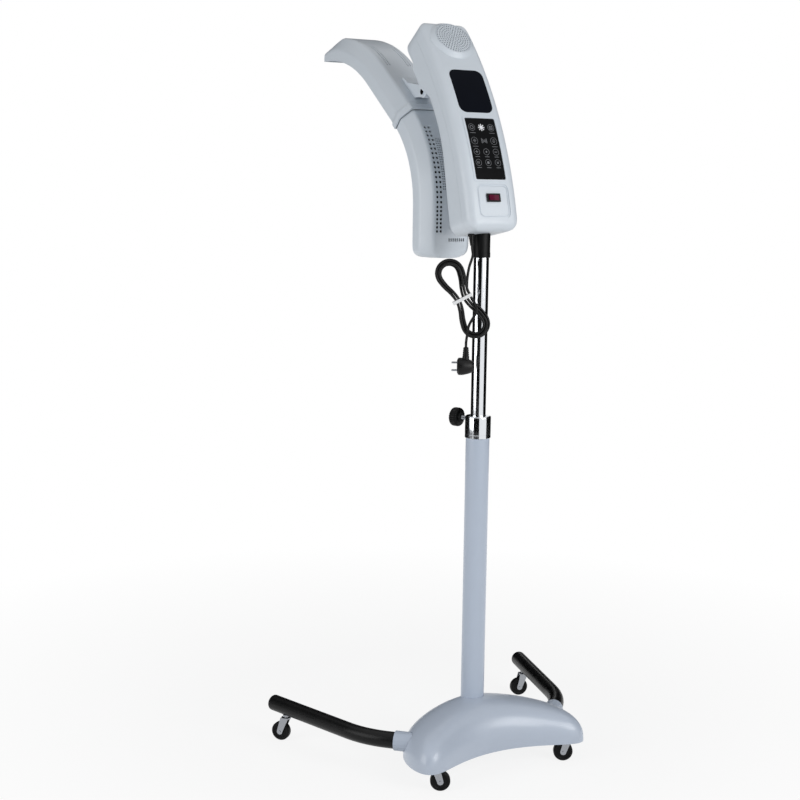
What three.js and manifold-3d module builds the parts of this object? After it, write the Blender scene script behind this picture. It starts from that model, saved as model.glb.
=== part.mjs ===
// Hair color processor: a heating hood and a control console on a height-adjustable wheeled stand.
// Millimetres, +Z up. The console's control face looks to -Y, and the hood reaches out to +Y.
import * as THREE from "three";
import { mergeVertices } from "three/addons/utils/BufferGeometryUtils.js";
import Module from "manifold-3d";

const wasm = await Module();
wasm.setup();

// Clearances
const GAP = 0.3;
const OVERCUT = 5;

// Castors and wheels
const WHEEL_RADIUS = 25;
const WHEEL_WIDTH = 18;
const WHEEL_EDGE = 4;
const AXLE_RADIUS = 3;
const CASTOR_TRAIL = 14;
const CASTOR_PLATE = 3.5;
const CASTOR_PLATE_RADIUS = 13;
const CASTOR_CHEEK = 2;
const CASTOR_SIDE_PLAY = 1;
const CASTOR_PIVOT_RADIUS = 4;
const CASTOR_NUT_RADIUS = 9;
const CASTOR_NUT_HEIGHT = 7;
const CASTOR_STUD_RADIUS = 5;
const CASTOR_STUD_LENGTH = 9;
const FRONT_CASTOR_X = 203;
const FRONT_CASTOR_Y = -150;
const REAR_CASTOR_SETBACK = 45;
const CASTOR_HEADINGS = { front_left: 330, front_right: 150, rear_left: 130, rear_right: 165 };

// Base
const LEG_RADIUS = 21;
const LEG_WALL = 2;
const LEG_HEIGHT = 92;
const LEG_START = [205, -66];
const LEG_CORNER = [300, 30];
const LEG_END = [396, 360];
const LEG_BEND_REACH = 62;
const LEG_CAP_DEPTH = 14;
const SOCKET_WALL = 3.5;
const SOCKET_LENGTH = 56;
const PLATE_THICKNESS = 4.5;
const HUB_HEIGHT = 46;
const HUB_WALL = 5;
const SHELL_HALF_LENGTH = 250;
const SHELL_HALF_WIDTH = 98;
const SHELL_END_NARROWING = 4;
const SHELL_CENTRE_Y = -27;
const SHELL_SWEEP = 95;
const SHELL_END_FULLNESS = 8;
const SHELL_CROWN_FULLNESS = 4.2;
const SHELL_RIM_HEIGHT = 53;
const SHELL_TOP_HEIGHT = 164;
const SHELL_WALL = 3;

// Column, collar, clamp and post
const COLUMN_RADIUS = 30;
const COLUMN_WALL = 2;
const COLUMN_TOP = 856;
const COLUMN_FLOOR = 6;
const COLLAR_RADIUS = 32.6;
const COLLAR_RISE = 42;
const COLLAR_TOP = COLUMN_TOP + COLLAR_RISE;
const COLLAR_SKIRT = 14;
const POST_RADIUS = 19;
const POST_WALL = 1.5;
const POST_FOOT = 470;
const POST_TOP = 1432;
const BUSH_FLANGE = 2.5;
const BUSH_DEPTH = 60;
const CLAMP_DROP = 10;
const CLAMP_HEIGHT = COLLAR_TOP - CLAMP_DROP;
const CLAMP_HEADING = 113;
const CLAMP_SCREW_RADIUS = 5;
const CLAMP_SCREW_LENGTH = 49;
const KNOB_RADIUS = 24;
const KNOB_THICKNESS = 22;
const KNOB_LOBES = 8;
const BOLT_RADIUS = 6;

// Console: the control face follows an arc, and sizes along it are measured from its foot
const FACE_FOOT_Y = -66;
const FACE_FOOT_Z = 1364;
const FACE_FOOT_TILT = 10;
const FACE_RADIUS = 986;
const CONSOLE_LENGTH = 600;
const CONSOLE_WIDTH = 148;
const CONSOLE_WALL = 3.2;
const DEPTH_FOOT = 116;
const DEPTH_WAIST = 92;
const DEPTH_HEAD = 118;
const WAIST_FROM = 60;
const WAIST_TO = 330;
const HEAD_FROM = 395;
const HEAD_TO = 470;
const NECK_DENT = 12;
const NECK_FROM = 518;
const NECK_TO = 538;
const TOP_RAKE = 0.18;
const RAKE_FROM = 545;
const FRONT_CORNER = 20;
const REAR_CORNER = 30;
const END_ROUNDING = 24;
const SPLIT_DEPTH = 38;
const SLEEVE_RADIUS = 22;
const SLEEVE_FOOT = 1296;
const SLEEVE_TOP = 1440;
const OVERLAY_POCKET = 1.8;
const OVERLAY_PROUD = 0.4;
const DISPLAY_AT = 367.9;
const DISPLAY_WIDTH = 98;
const DISPLAY_LENGTH = 125;
const KEYS_AT = 208.6;
const KEYS_WIDTH = 86;
const KEYS_LENGTH = 161;
const SWITCH_AT = 74;
const SWITCH_WIDTH = 92;
const SWITCH_LENGTH = 84;
const ROCKER_AT = 82;
const ROCKER_WIDTH = 31;
const ROCKER_HEIGHT = 13;
const ROCKER_DEPTH = 12;
const ROCKER_RIM = 2.5;
const ROCKER_SWING = 7;
const GRILLE_AT = 528;
const GRILLE_RADIUS = 49;
const GRILLE_THICKNESS = 3;
const BOSS_RADIUS = 57;
const BOSS_HEIGHT = 9;
const FAN_RADIUS = 38;
const FAN_BLADES = 5;
const FAN_HUB = 15;
const FAN_SHAFT = 3;
const CHASSIS_DEPTH = 56;
const CHASSIS_THICKNESS = 3;
const CHASSIS_WIDTH = 60;
const CHASSIS_FROM = 70;
const CHASSIS_TO = 455;
const CHASSIS_GRIP = 44;
const STAY_SPOTS = [150, 350];
const STAY_LENGTH = 12;
const BOARD_FROM = 145;
const BOARD_TO = 265;
const BOARD_WIDTH = 92;
const BOARD_OVERHANG = 15;
const BOARD_DEPTH = 24;
const BOARD_THICKNESS = 2;
const PILLAR_X = 22;
const PILLAR_RADIUS = 4;
const SUPPLY_AT = 370;
const SUPPLY_WIDTH = 64;
const SUPPLY_LENGTH = 76;
const SUPPLY_DEPTH = 28;

// Hood: an arch of two covers, sizes along it are measured from the foot of its straight back
const HOOD_BACK_Y = 211;
const HOOD_FOOT_Z = 1334;
const HOOD_RISE = 86;
const HOOD_LOWER_RADIUS = 260;
const HOOD_LEAN = 53;
const HOOD_STRAIGHT = 185;
const HOOD_UPPER_RADIUS = 380;
const HOOD_TIP_RUN = 28;
const HOOD_HALF_WIDTH = 76;
const HOOD_DEPTH = 64;
const HOOD_SIDE = 32;
const HOOD_BEVEL = 25;
const HOOD_TIP_DEPTH = 40;
const HOOD_TIP_TAPER = 62;
const HOOD_WALL = 3;
const HOOD_TONGUE = 64;
const SEAM_AT = 316;
const LIP_HEIGHT = 6;
const LIP_LENGTH = 22;
const VENT_RADIUS = 2.6;
const VENT_PITCH = 25;
const VENT_ROWS = 9;
const HINGE_AT = 480;
const HINGE_STANDOFF = 24;
const HINGE_BARREL = 16;
const HINGE_PIN = 5;
const ARM_WIDTH = 44;
const ARM_FOOT_SETBACK = 34;
const ARM_FOOT_LENGTH = 84;
const CHEEK_WIDTH = 12;
const HEATER_RADIUS = 6;
const HEATER_SIDES = 6;
const HEATER_SPREAD = 27;
const HEATER_DEPTH = 32;
const REFLECTOR_DEPTH = 50;
const REFLECTOR_SHEET = 1.5;
const GUARD_WIRE = 1.6;
const PANEL_MARGIN = 12;
const PANEL_TIP_MARGIN = 88;
const HEATER_SETBACK = 70;

// Cord
const CORD_DIAMETER = 6.5;
const GLAND_X = -38;
const GLAND_DEPTH = 57;
const GLAND_TAPER = 28;
const HANK_CENTRE = [-72.6, -29.7, 1197];
const HANK_FACING = 30;
const HANK_LEAN = 28;
const HANK_HALF_LENGTH = 90;
const HANK_FOLD_RADIUS = 19.8;
const HANK_PITCH = 7.6;
const HANK_TURNS_IN_LAYER = 2;
const HANK_TAIL_END = 9;
const HANK_END_EASE = 1.8;
const LOOP_STEPS = 24;
const PLUG_CENTRE = [-68.8, -40.8, 1031];
const PLUG_RADIUS = 21.5;
const PLUG_LENGTH = 38;
const PLUG_PIN_RADIUS = 2.4;
const PLUG_PIN_LENGTH = 14;
const PLUG_PIN_SPACING = 19;
const TIE_THICKNESS = 1.6;
const TIE_WIDTH = 8;

// Finishes
const finish = (color, roughness, metalness) => new THREE.MeshStandardMaterial({ color, roughness,
  metalness });
const WHITE_PLASTIC = finish(0xd3d9e2, 0.42, 0);
const BASE_PAINT = finish(0xb4c0d0, 0.4, 0);
const BLACK_PAINT = finish(0x141416, 0.45, 0.1);
const BLACK_PLASTIC = finish(0x17171a, 0.55, 0);
const CHROME = finish(0xdcdfe3, 0.12, 1);
const ZINC = finish(0xb9bcc0, 0.35, 1);
const SCREEN = finish(0x0d1119, 0.12, 0);
const KEY_FILM = finish(0x101012, 0.3, 0);
const ROCKER_RED = finish(0x6b1730, 0.35, 0);
const BOARD_GREEN = finish(0x1f5a38, 0.6, 0);
const GREY_PLASTIC = finish(0x8d949c, 0.55, 0);
const BRIGHT_SHEET = finish(0xe2e4e6, 0.2, 1);
const QUARTZ = finish(0xf1ded2, 0.15, 0);
const TIE_WHITE = finish(0xe9e9e6, 0.6, 0);

// General helpers
const rad = THREE.MathUtils.degToRad;
const vec = (x, y, z) => new THREE.Vector3(x, y, z);
const flat = (x, y) => new THREE.Vector2(x, y);
const processor = new THREE.Group();
processor.name = "hair_color_processor";

function ease(from, to, start, end, at) {
  const share = THREE.MathUtils.clamp((at - start) / (end - start), 0, 1);
  return from + (to - from) * 0.5 * (1 - Math.cos(Math.PI * share));
}

function signedVolume(geometry) {
  const whole = geometry.index ? geometry.toNonIndexed() : geometry;
  const spots = whole.attributes.position;
  const corners = [vec(0, 0, 0), vec(0, 0, 0), vec(0, 0, 0)];
  let sum = 0;
  for (let i = 0; i < spots.count; i += 3) {
    corners.forEach((corner, k) => corner.fromBufferAttribute(spots, i + k));
    sum += corners[0].dot(corners[1].clone().cross(corners[2])) / 6;
  }
  return sum;
}

// Merged, position-only copy of a geometry with its faces pointing out
function tidy(geometry) {
  const bare = geometry.clone();
  bare.deleteAttribute("normal");
  bare.deleteAttribute("uv");
  const merged = mergeVertices(bare, 1e-3);
  if (signedVolume(merged) < 0) {
    const turned = Array.from(merged.index.array);
    for (let i = 0; i < turned.length; i += 3) {
      [turned[i], turned[i + 1]] = [turned[i + 1], turned[i]];
    }
    merged.setIndex(turned);
  }
  return merged;
}

function solid(geometry) {
  const closed = tidy(geometry);
  const vertProperties = new Float32Array(closed.attributes.position.array);
  const triVerts = new Uint32Array(closed.index.array);
  return new wasm.Manifold(new wasm.Mesh({ numProp: 3, vertProperties, triVerts }));
}

function geometryOf(body) {
  const mesh = body.getMesh();
  const geometry = new THREE.BufferGeometry();
  geometry.setAttribute("position", new THREE.BufferAttribute(new Float32Array(mesh.vertProperties), 3));
  geometry.setIndex(new THREE.BufferAttribute(new Uint32Array(mesh.triVerts), 1));
  return geometry;
}

function piece(name, shape, material, parent = processor) {
  const geometry = shape.isBufferGeometry ? tidy(shape) : geometryOf(shape);
  geometry.computeVertexNormals();
  const mesh = new THREE.Mesh(geometry, material);
  mesh.name = name;
  parent.add(mesh);
  return mesh;
}

const join = (...geometries) => geometries.map(solid).reduce((whole, next) => whole.add(next));
const cut = (body, ...tools) => tools.map(solid).reduce((left, tool) => left.subtract(tool), body);

function block(sizeX, sizeY, sizeZ, x, y, z) {
  return new THREE.BoxGeometry(sizeX, sizeY, sizeZ).translate(x, y, z);
}

// Round bar between two points, tapered when the far end has its own radius
function bar(from, to, radius, sides = 16, endRadius = radius) {
  const along = to.clone().sub(from);
  const geometry = new THREE.CylinderGeometry(endRadius, radius, along.length(), sides);
  geometry.applyQuaternion(new THREE.Quaternion().setFromUnitVectors(vec(0, 1, 0), along.normalize()));
  const middle = from.clone().add(to).multiplyScalar(0.5);
  return geometry.translate(middle.x, middle.y, middle.z);
}

// Turned piece about Z from (radius, height) pairs
function turned(profile, sides = 24) {
  const geometry = new THREE.LatheGeometry(profile.map(([r, z]) => flat(r, z)), sides);
  return geometry.rotateX(Math.PI / 2);
}

function tubeShape(radius, bore, sides) {
  const corner = (r) => (_, i) => flat(r * Math.cos((2 * Math.PI * i) / sides),
    r * Math.sin((2 * Math.PI * i) / sides));
  const shape = new THREE.Shape(Array.from({ length: sides }, corner(radius)));
  if (bore > 0) {
    shape.holes.push(new THREE.Path(Array.from({ length: sides }, corner(bore))));
  }
  return shape;
}

function tubeAlong(path, radius, sides, steps, bore = 0) {
  return new THREE.ExtrudeGeometry(tubeShape(radius, bore, sides), { steps, extrudePath: path });
}

function slab(outline, depth) {
  return new THREE.ExtrudeGeometry(new THREE.Shape(outline), { depth, bevelEnabled: false,
    curveSegments: 6 });
}

// Skin over a row of stations; each station has a flat outline and a rule that places it in space
function loft(stations) {
  const spots = [];
  const faces = [];
  const count = stations[0].outline.length;
  stations.forEach(({ outline, place }) => outline.forEach((point) => spots.push(place(point.x, point.y))));
  for (let row = 0; row + 1 < stations.length; row += 1) {
    for (let i = 0; i < count; i += 1) {
      const next = (i + 1) % count;
      const here = row * count;
      const above = here + count;
      faces.push(here + i, here + next, above + next, here + i, above + next, above + i);
    }
  }
  const first = THREE.ShapeUtils.triangulateShape(stations[0].outline, []);
  const last = THREE.ShapeUtils.triangulateShape(stations.at(-1).outline, []);
  const turn = THREE.ShapeUtils.isClockWise(stations[0].outline) ? [0, 1, 2] : [2, 1, 0];
  const base = (stations.length - 1) * count;
  first.forEach((tri) => faces.push(tri[turn[0]], tri[turn[1]], tri[turn[2]]));
  last.forEach((tri) => faces.push(base + tri[turn[2]], base + tri[turn[1]], base + tri[turn[0]]));
  const geometry = new THREE.BufferGeometry().setFromPoints(spots);
  geometry.setIndex(faces);
  return geometry;
}

// Radius of a faceted hole whose flats clear a round of the given radius
const holeFor = (radius, sides) => (radius + GAP) / Math.cos(Math.PI / sides);
const rectangle = (x0, x1, y0, y1) => [flat(x0, y0), flat(x1, y0), flat(x1, y1), flat(x0, y1)];
const evenly = (from, to, count) => Array.from({ length: count }, (_,
  i) => from + ((to - from) * i) / (count - 1));

// Base legs: bent tubes that run out and back from sockets in the base
const MOUNT_HEIGHT = LEG_HEIGHT - LEG_RADIUS;

function legPath(side, extra = 0) {
  const at = ([x, y]) => vec(side * x, y, LEG_HEIGHT);
  const start = at(LEG_START);
  const corner = at(LEG_CORNER);
  const end = at(LEG_END);
  const inward = start.clone().sub(corner).normalize();
  const outward = end.clone().sub(corner).normalize();
  const bendIn = corner.clone().addScaledVector(inward, LEG_BEND_REACH);
  const bendOut = corner.clone().addScaledVector(outward, LEG_BEND_REACH);
  const path = new THREE.CurvePath();
  path.add(new THREE.LineCurve3(start.clone().addScaledVector(inward, extra), bendIn));
  path.add(new THREE.QuadraticBezierCurve3(bendIn, corner, bendOut));
  path.add(new THREE.LineCurve3(bendOut, end));
  return { path, start, end, inward, outward };
}

// Castors: stem and nut stay with the base, the fork swivels on the stem, the wheel rolls in the fork
const AXLE_HEIGHT = WHEEL_RADIUS;
const FORK_TOP = MOUNT_HEIGHT - CASTOR_NUT_HEIGHT - GAP;
const FORK_INNER = WHEEL_WIDTH / 2 + CASTOR_SIDE_PLAY;

function castorPlaces() {
  const { end, outward } = legPath(1);
  const rear = end.clone().addScaledVector(outward, -REAR_CASTOR_SETBACK);
  return {
    front_left: [-FRONT_CASTOR_X, FRONT_CASTOR_Y],
    front_right: [FRONT_CASTOR_X, FRONT_CASTOR_Y],
    rear_left: [-rear.x, rear.y],
    rear_right: [rear.x, rear.y],
  };
}

function castorStem() {
  const nutTop = MOUNT_HEIGHT - GAP;
  const rivetTop = FORK_TOP - CASTOR_PLATE - GAP;
  const nut = turned([[0, FORK_TOP + GAP], [CASTOR_NUT_RADIUS, FORK_TOP + GAP], [CASTOR_NUT_RADIUS, nutTop],
    [0, nutTop]], 6);
  const stud = bar(vec(0, 0, nutTop - 1), vec(0, 0, nutTop + CASTOR_STUD_LENGTH), CASTOR_STUD_RADIUS, 8);
  const pivot = bar(vec(0, 0, rivetTop - 1), vec(0, 0, FORK_TOP + 1), CASTOR_PIVOT_RADIUS, 8);
  const rivet = bar(vec(0, 0, rivetTop - 2), vec(0, 0, rivetTop), CASTOR_PIVOT_RADIUS + 2.5, 8);
  return join(nut, stud, pivot, rivet);
}

function castorFork() {
  const eye = CASTOR_PLATE_RADIUS * 0.62;
  const plateFoot = FORK_TOP - CASTOR_PLATE;
  const plate = bar(vec(0, 0, plateFoot), vec(0, 0, FORK_TOP), CASTOR_PLATE_RADIUS, 12);
  const outline = new THREE.Shape();
  outline.moveTo(-CASTOR_PLATE_RADIUS + 3, FORK_TOP);
  outline.lineTo(CASTOR_TRAIL - eye, AXLE_HEIGHT);
  outline.absarc(CASTOR_TRAIL, AXLE_HEIGHT, eye, Math.PI, 2 * Math.PI, false);
  outline.lineTo(CASTOR_PLATE_RADIUS - 1, FORK_TOP);
  const cheek = (from) => {
    const shape = new THREE.ExtrudeGeometry(outline, { depth: CASTOR_CHEEK, bevelEnabled: false,
      curveSegments: 3 });
    return shape.rotateX(Math.PI / 2).translate(0, from + CASTOR_CHEEK, 0);
  };
  const reach = FORK_INNER + CASTOR_CHEEK + 1.5;
  const axle = bar(vec(CASTOR_TRAIL, -reach, AXLE_HEIGHT), vec(CASTOR_TRAIL, reach, AXLE_HEIGHT),
    AXLE_RADIUS, 8);
  const fork = join(plate, cheek(FORK_INNER), cheek(-FORK_INNER - CASTOR_CHEEK), axle,
    block(CASTOR_PLATE_RADIUS * 1.5, 2 * FORK_INNER + 2, CASTOR_PLATE, 0, 0, FORK_TOP - CASTOR_PLATE / 2));
  return cut(fork, bar(vec(0, 0, plateFoot - OVERCUT), vec(0, 0, FORK_TOP + OVERCUT),
    CASTOR_PIVOT_RADIUS + GAP, 8));
}

function castorWheel() {
  const sides = 20;
  const rim = WHEEL_RADIUS / Math.cos(Math.PI / sides);
  const half = WHEEL_WIDTH / 2;
  const bore = AXLE_RADIUS + GAP;
  const profile = [[bore, -half], [rim - WHEEL_EDGE, -half], [rim, -half + WHEEL_EDGE], [rim,
    half - WHEEL_EDGE],
    [rim - WHEEL_EDGE, half], [bore, half], [bore, -half]];
  const wheel = turned(profile, sides).rotateZ(Math.PI / sides);
  return wheel.rotateX(Math.PI / 2).translate(CASTOR_TRAIL, 0, AXLE_HEIGHT);
}

for (const [name, [x, y]] of Object.entries(castorPlaces())) {
  const castor = new THREE.Group();
  castor.position.set(x, y, 0);
  castor.rotation.z = rad(CASTOR_HEADINGS[name]);
  processor.add(castor);
  piece(`castor_stem_${name}`, castorStem(), ZINC, castor);
  piece(`castor_fork_${name}`, castorFork(), ZINC, castor);
  piece(`castor_wheel_${name}`, castorWheel(), BLACK_PLASTIC, castor);
}

// Base shell: a crescent moulding, wide over the column and drawn out over the two front castors
function crescent(inset, foot) {
  const halfLength = SHELL_HALF_LENGTH - inset;
  const cuts = evenly(-80, 80, 13).map((angle) => Math.sin(rad(angle)) / Math.sin(rad(80.6)));
  return loft(cuts.map((share) => {
    const x = share * halfLength;
    const reach = Math.abs(share);
    const ending = Math.sqrt(1 - reach ** SHELL_END_FULLNESS);
    const halfWidth = (SHELL_HALF_WIDTH - inset - SHELL_END_NARROWING * reach ** 2) * ending;
    const crown = (1 - reach ** SHELL_CROWN_FULLNESS) ** 0.6;
    const height = (SHELL_TOP_HEIGHT - inset - SHELL_RIM_HEIGHT) * crown;
    const middle = SHELL_CENTRE_Y - SHELL_SWEEP * reach ** 2;
    const arch = evenly(-1, 1, 9).map((turn) => {
      const across = Math.sin((turn * Math.PI) / 2);
      return flat(across * halfWidth, SHELL_RIM_HEIGHT + height * (1 - Math.abs(across) ** 2.6) ** (1 / 2.6));
    });
    const outline = [...arch, flat(halfWidth, foot), flat(-halfWidth, foot)];
    return { outline, place: (across, z) => vec(x, middle + across, z) };
  }));
}

const socketEnd = (side) => {
  const { start, inward } = legPath(side);
  return start.clone().addScaledVector(inward, -SOCKET_LENGTH);
};
const socketReach = (side, extra) => {
  const { start, inward } = legPath(side);
  return start.clone().addScaledVector(inward, extra);
};
const SOCKET_RADIUS = LEG_RADIUS + GAP + SOCKET_WALL;
const HUB_RADIUS = COLUMN_RADIUS + GAP + HUB_WALL;
const PLATE_TOP = MOUNT_HEIGHT + PLATE_THICKNESS;
const sides = [["left", -1], ["right", 1]];

const shellCuts = sides.map(([, side]) => bar(socketReach(side, OVERCUT), socketEnd(side),
  SOCKET_RADIUS + GAP, 16));
const columnHole = bar(vec(0, 0, SHELL_RIM_HEIGHT), vec(0, 0, SHELL_TOP_HEIGHT + OVERCUT),
  COLUMN_RADIUS + GAP, 24);
const shellBody = cut(solid(crescent(0, SHELL_RIM_HEIGHT - 1)), crescent(SHELL_WALL,
  SHELL_RIM_HEIGHT - OVERCUT));
piece("base_shell", cut(shellBody, columnHole, ...shellCuts), BASE_PAINT);

// Base frame: a plate with the hub that holds the column and the sockets that hold the legs
function baseFrame() {
  const plateOutline = [flat(-FRONT_CASTOR_X - 22, FRONT_CASTOR_Y + 20), flat(-FRONT_CASTOR_X - 8,
    FRONT_CASTOR_Y - 14),
    flat(-FRONT_CASTOR_X + 24, FRONT_CASTOR_Y - 8), flat(-60, -95), flat(60, -95),
    flat(FRONT_CASTOR_X - 24, FRONT_CASTOR_Y - 8), flat(FRONT_CASTOR_X + 8, FRONT_CASTOR_Y - 14),
    flat(FRONT_CASTOR_X + 22, FRONT_CASTOR_Y + 20), flat(LEG_START[0] + 10, LEG_START[1] - 14),
    flat(LEG_START[0] - 14, LEG_START[1] + 22), flat(50, 40), flat(-50, 40), flat(14 - LEG_START[0],
      LEG_START[1] + 22),
    flat(-LEG_START[0] - 10, LEG_START[1] - 14)];
  const plate = slab(plateOutline, PLATE_THICKNESS).translate(0, 0, MOUNT_HEIGHT);
  const hub = bar(vec(0, 0, PLATE_TOP - 1), vec(0, 0, PLATE_TOP + HUB_HEIGHT), HUB_RADIUS, 24);
  const sockets = sides.map(([, side]) => bar(socketReach(side, 0), socketEnd(side), SOCKET_RADIUS, 16));
  const frame = join(plate, hub, ...sockets);
  const legBores = sides.map(([, side]) => bar(socketReach(side, OVERCUT), socketEnd(side)
    .addScaledVector(legPath(side).inward, -OVERCUT), holeFor(LEG_RADIUS, 16), 16));
  const columnBore = bar(vec(0, 0, PLATE_TOP), vec(0, 0, PLATE_TOP + HUB_HEIGHT + OVERCUT),
    COLUMN_RADIUS + GAP, 24);
  const boltBore = bar(vec(0, 0, MOUNT_HEIGHT - OVERCUT), vec(0, 0, PLATE_TOP + 1), BOLT_RADIUS + GAP, 12);
  const studBores = [-1, 1].map((side) => bar(vec(side * FRONT_CASTOR_X, FRONT_CASTOR_Y,
    MOUNT_HEIGHT - OVERCUT),
    vec(side * FRONT_CASTOR_X, FRONT_CASTOR_Y, PLATE_TOP + OVERCUT), holeFor(CASTOR_STUD_RADIUS, 8), 8));
  return cut(frame, ...legBores, columnBore, boltBore, ...studBores);
}
piece("base_frame", baseFrame(), BASE_PAINT);

for (const [name, side] of sides) {
  const { path, end, outward } = legPath(side);
  const [x, y] = castorPlaces()[`rear_${name}`];
  const tube = solid(tubeAlong(path, LEG_RADIUS, 12, 8, LEG_RADIUS - LEG_WALL));
  const studBore = bar(vec(x, y, MOUNT_HEIGHT - OVERCUT), vec(x, y, LEG_HEIGHT), holeFor(CASTOR_STUD_RADIUS,
    8), 8);
  piece(`leg_${name}`, cut(tube, studBore), BLACK_PAINT);
  const face = end.clone().addScaledVector(outward, GAP);
  const dome = face.clone().addScaledVector(outward, 3);
  const nose = face.clone().addScaledVector(outward, 7);
  const spigot = end.clone().addScaledVector(outward, -LEG_CAP_DEPTH);
  piece(`leg_cap_${name}`, join(bar(face, dome, LEG_RADIUS, 12), bar(dome, nose, LEG_RADIUS, 12,
    LEG_RADIUS * 0.72),
    bar(spigot, dome.clone().addScaledVector(outward, 1), LEG_RADIUS - LEG_WALL - GAP - 0.6, 12)),
      BLACK_PLASTIC);
}

// Column: a tube with a welded floor, bolted down through the frame
const COLUMN_FOOT = PLATE_TOP + GAP;
const columnBody = join(bar(vec(0, 0, COLUMN_FOOT), vec(0, 0, COLUMN_TOP), COLUMN_RADIUS, 24));
const columnCuts = [bar(vec(0, 0, COLUMN_FOOT + COLUMN_FLOOR), vec(0, 0, COLUMN_TOP + OVERCUT),
  COLUMN_RADIUS - COLUMN_WALL, 24),
  bar(vec(0, 0, COLUMN_FOOT - OVERCUT), vec(0, 0, COLUMN_FOOT + COLUMN_FLOOR + 1), BOLT_RADIUS + GAP, 12)];
piece("column_tube", cut(columnBody, ...columnCuts), BASE_PAINT);
piece("column_bolt", join(bar(vec(0, 0, MOUNT_HEIGHT - GAP - 7), vec(0, 0, MOUNT_HEIGHT - GAP),
  BOLT_RADIUS * 1.7, 6),
  bar(vec(0, 0, MOUNT_HEIGHT - 1), vec(0, 0, COLUMN_FOOT + COLUMN_FLOOR + 8), BOLT_RADIUS, 12)), ZINC);

// Guide bush: lines the column's mouth and centres the post
const bushTop = COLUMN_TOP + GAP + BUSH_FLANGE;
const bushOuter = join(bar(vec(0, 0, COLUMN_TOP - BUSH_DEPTH), vec(0, 0, bushTop - 1),
  COLUMN_RADIUS - COLUMN_WALL - GAP, 24),
  bar(vec(0, 0, COLUMN_TOP + GAP), vec(0, 0, bushTop), COLUMN_RADIUS - 1, 24));
const postWay = bar(vec(0, 0, 0), vec(0, 0, COLLAR_TOP + OVERCUT), POST_RADIUS + GAP, 24);
piece("guide_bush", cut(bushOuter, postWay), BLACK_PLASTIC);

// Collar: a plated cap over the column's mouth, with the thread for the clamp screw
const clampOut = vec(Math.cos(rad(CLAMP_HEADING)), Math.sin(rad(CLAMP_HEADING)), 0);
const clampAt = (reach) => clampOut.clone().multiplyScalar(reach).setZ(CLAMP_HEIGHT);
const collarFoot = COLUMN_TOP - COLLAR_SKIRT;
const collarBody = solid(turned([[0, collarFoot], [COLLAR_RADIUS, collarFoot], [COLLAR_RADIUS,
  COLLAR_TOP - 4],
  [COLLAR_RADIUS - 4, COLLAR_TOP], [0, COLLAR_TOP]], 24));
piece("column_collar", cut(collarBody, postWay,
  bar(vec(0, 0, collarFoot - OVERCUT), vec(0, 0, bushTop + GAP), COLUMN_RADIUS + GAP, 24),
  bar(clampAt(0), clampAt(COLLAR_RADIUS * 2), CLAMP_SCREW_RADIUS + GAP, 12)), CHROME);

// Clamp: a screw through the collar that bears on the post, turned by a lobed knob
const screwTip = POST_RADIUS + GAP;
const screwEnd = screwTip + CLAMP_SCREW_LENGTH;
piece("clamp_screw", bar(clampAt(screwTip), clampAt(screwEnd), CLAMP_SCREW_RADIUS, 12), ZINC);

function clampKnob() {
  const outline = evenly(0, 2 * Math.PI, KNOB_LOBES * 4 + 1).slice(0, -1).map((angle, i) => {
    const radius = KNOB_RADIUS - (i % 4 === 0 ? 2.2 : 0);
    return flat(radius * Math.cos(angle), radius * Math.sin(angle));
  });
  const grip = slab(outline, KNOB_THICKNESS).translate(0, 0, screwEnd - 14);
  const neck = bar(vec(0, 0, screwEnd - 20), vec(0, 0, screwEnd - 13), KNOB_RADIUS * 0.5, 16);
  const knob = cut(join(grip, neck), bar(vec(0, 0, 0), vec(0, 0, screwEnd + GAP), CLAMP_SCREW_RADIUS + GAP,
    12));
  const place = new THREE.Matrix4().makeRotationFromQuaternion(
    new THREE.Quaternion().setFromUnitVectors(vec(0, 0, 1), clampOut)).setPosition(0, 0, CLAMP_HEIGHT);
  return geometryOf(knob).applyMatrix4(place);
}
piece("clamp_knob", clampKnob(), BLACK_PLASTIC);

// Post: the plated tube that slides in the column
const postBody = join(bar(vec(0, 0, POST_FOOT), vec(0, 0, POST_TOP), POST_RADIUS, 24));
piece("post_tube", cut(postBody, bar(vec(0, 0, POST_FOOT - OVERCUT), vec(0, 0, POST_TOP + OVERCUT),
  POST_RADIUS - POST_WALL, 24)), CHROME);
const footOuter = join(bar(vec(0, 0, POST_FOOT - 24), vec(0, 0, POST_FOOT - GAP),
  COLUMN_RADIUS - COLUMN_WALL - 1, 24),
  bar(vec(0, 0, POST_FOOT - 2), vec(0, 0, POST_FOOT + 20), POST_RADIUS - POST_WALL - GAP, 24));
piece("post_foot_bush", cut(footOuter, bar(vec(0, 0, POST_FOOT - 30), vec(0, 0, POST_FOOT + 30), 9, 12)),
  BLACK_PLASTIC);

// Sleeve: the black socket by which the head sits and turns on the post
const sleeveBody = join(bar(vec(0, 0, SLEEVE_FOOT), vec(0, 0, SLEEVE_TOP), SLEEVE_RADIUS, 24));
piece("post_sleeve", cut(sleeveBody,
  bar(vec(0, 0, SLEEVE_FOOT - OVERCUT), vec(0, 0, POST_TOP + GAP), POST_RADIUS + GAP, 24)), BLACK_PLASTIC);

// Console skin: stations along the face arc
const tiltAt = (along) => rad(FACE_FOOT_TILT) + along / FACE_RADIUS;
function consolePoint(along, x, depth) {
  const tilt = tiltAt(along);
  const foot = rad(FACE_FOOT_TILT);
  const y = FACE_FOOT_Y + FACE_RADIUS * (Math.cos(foot) - Math.cos(tilt)) + depth * Math.cos(tilt);
  const z = FACE_FOOT_Z + FACE_RADIUS * (Math.sin(tilt) - Math.sin(foot)) - depth * Math.sin(tilt);
  return vec(x, y, z);
}
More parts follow.
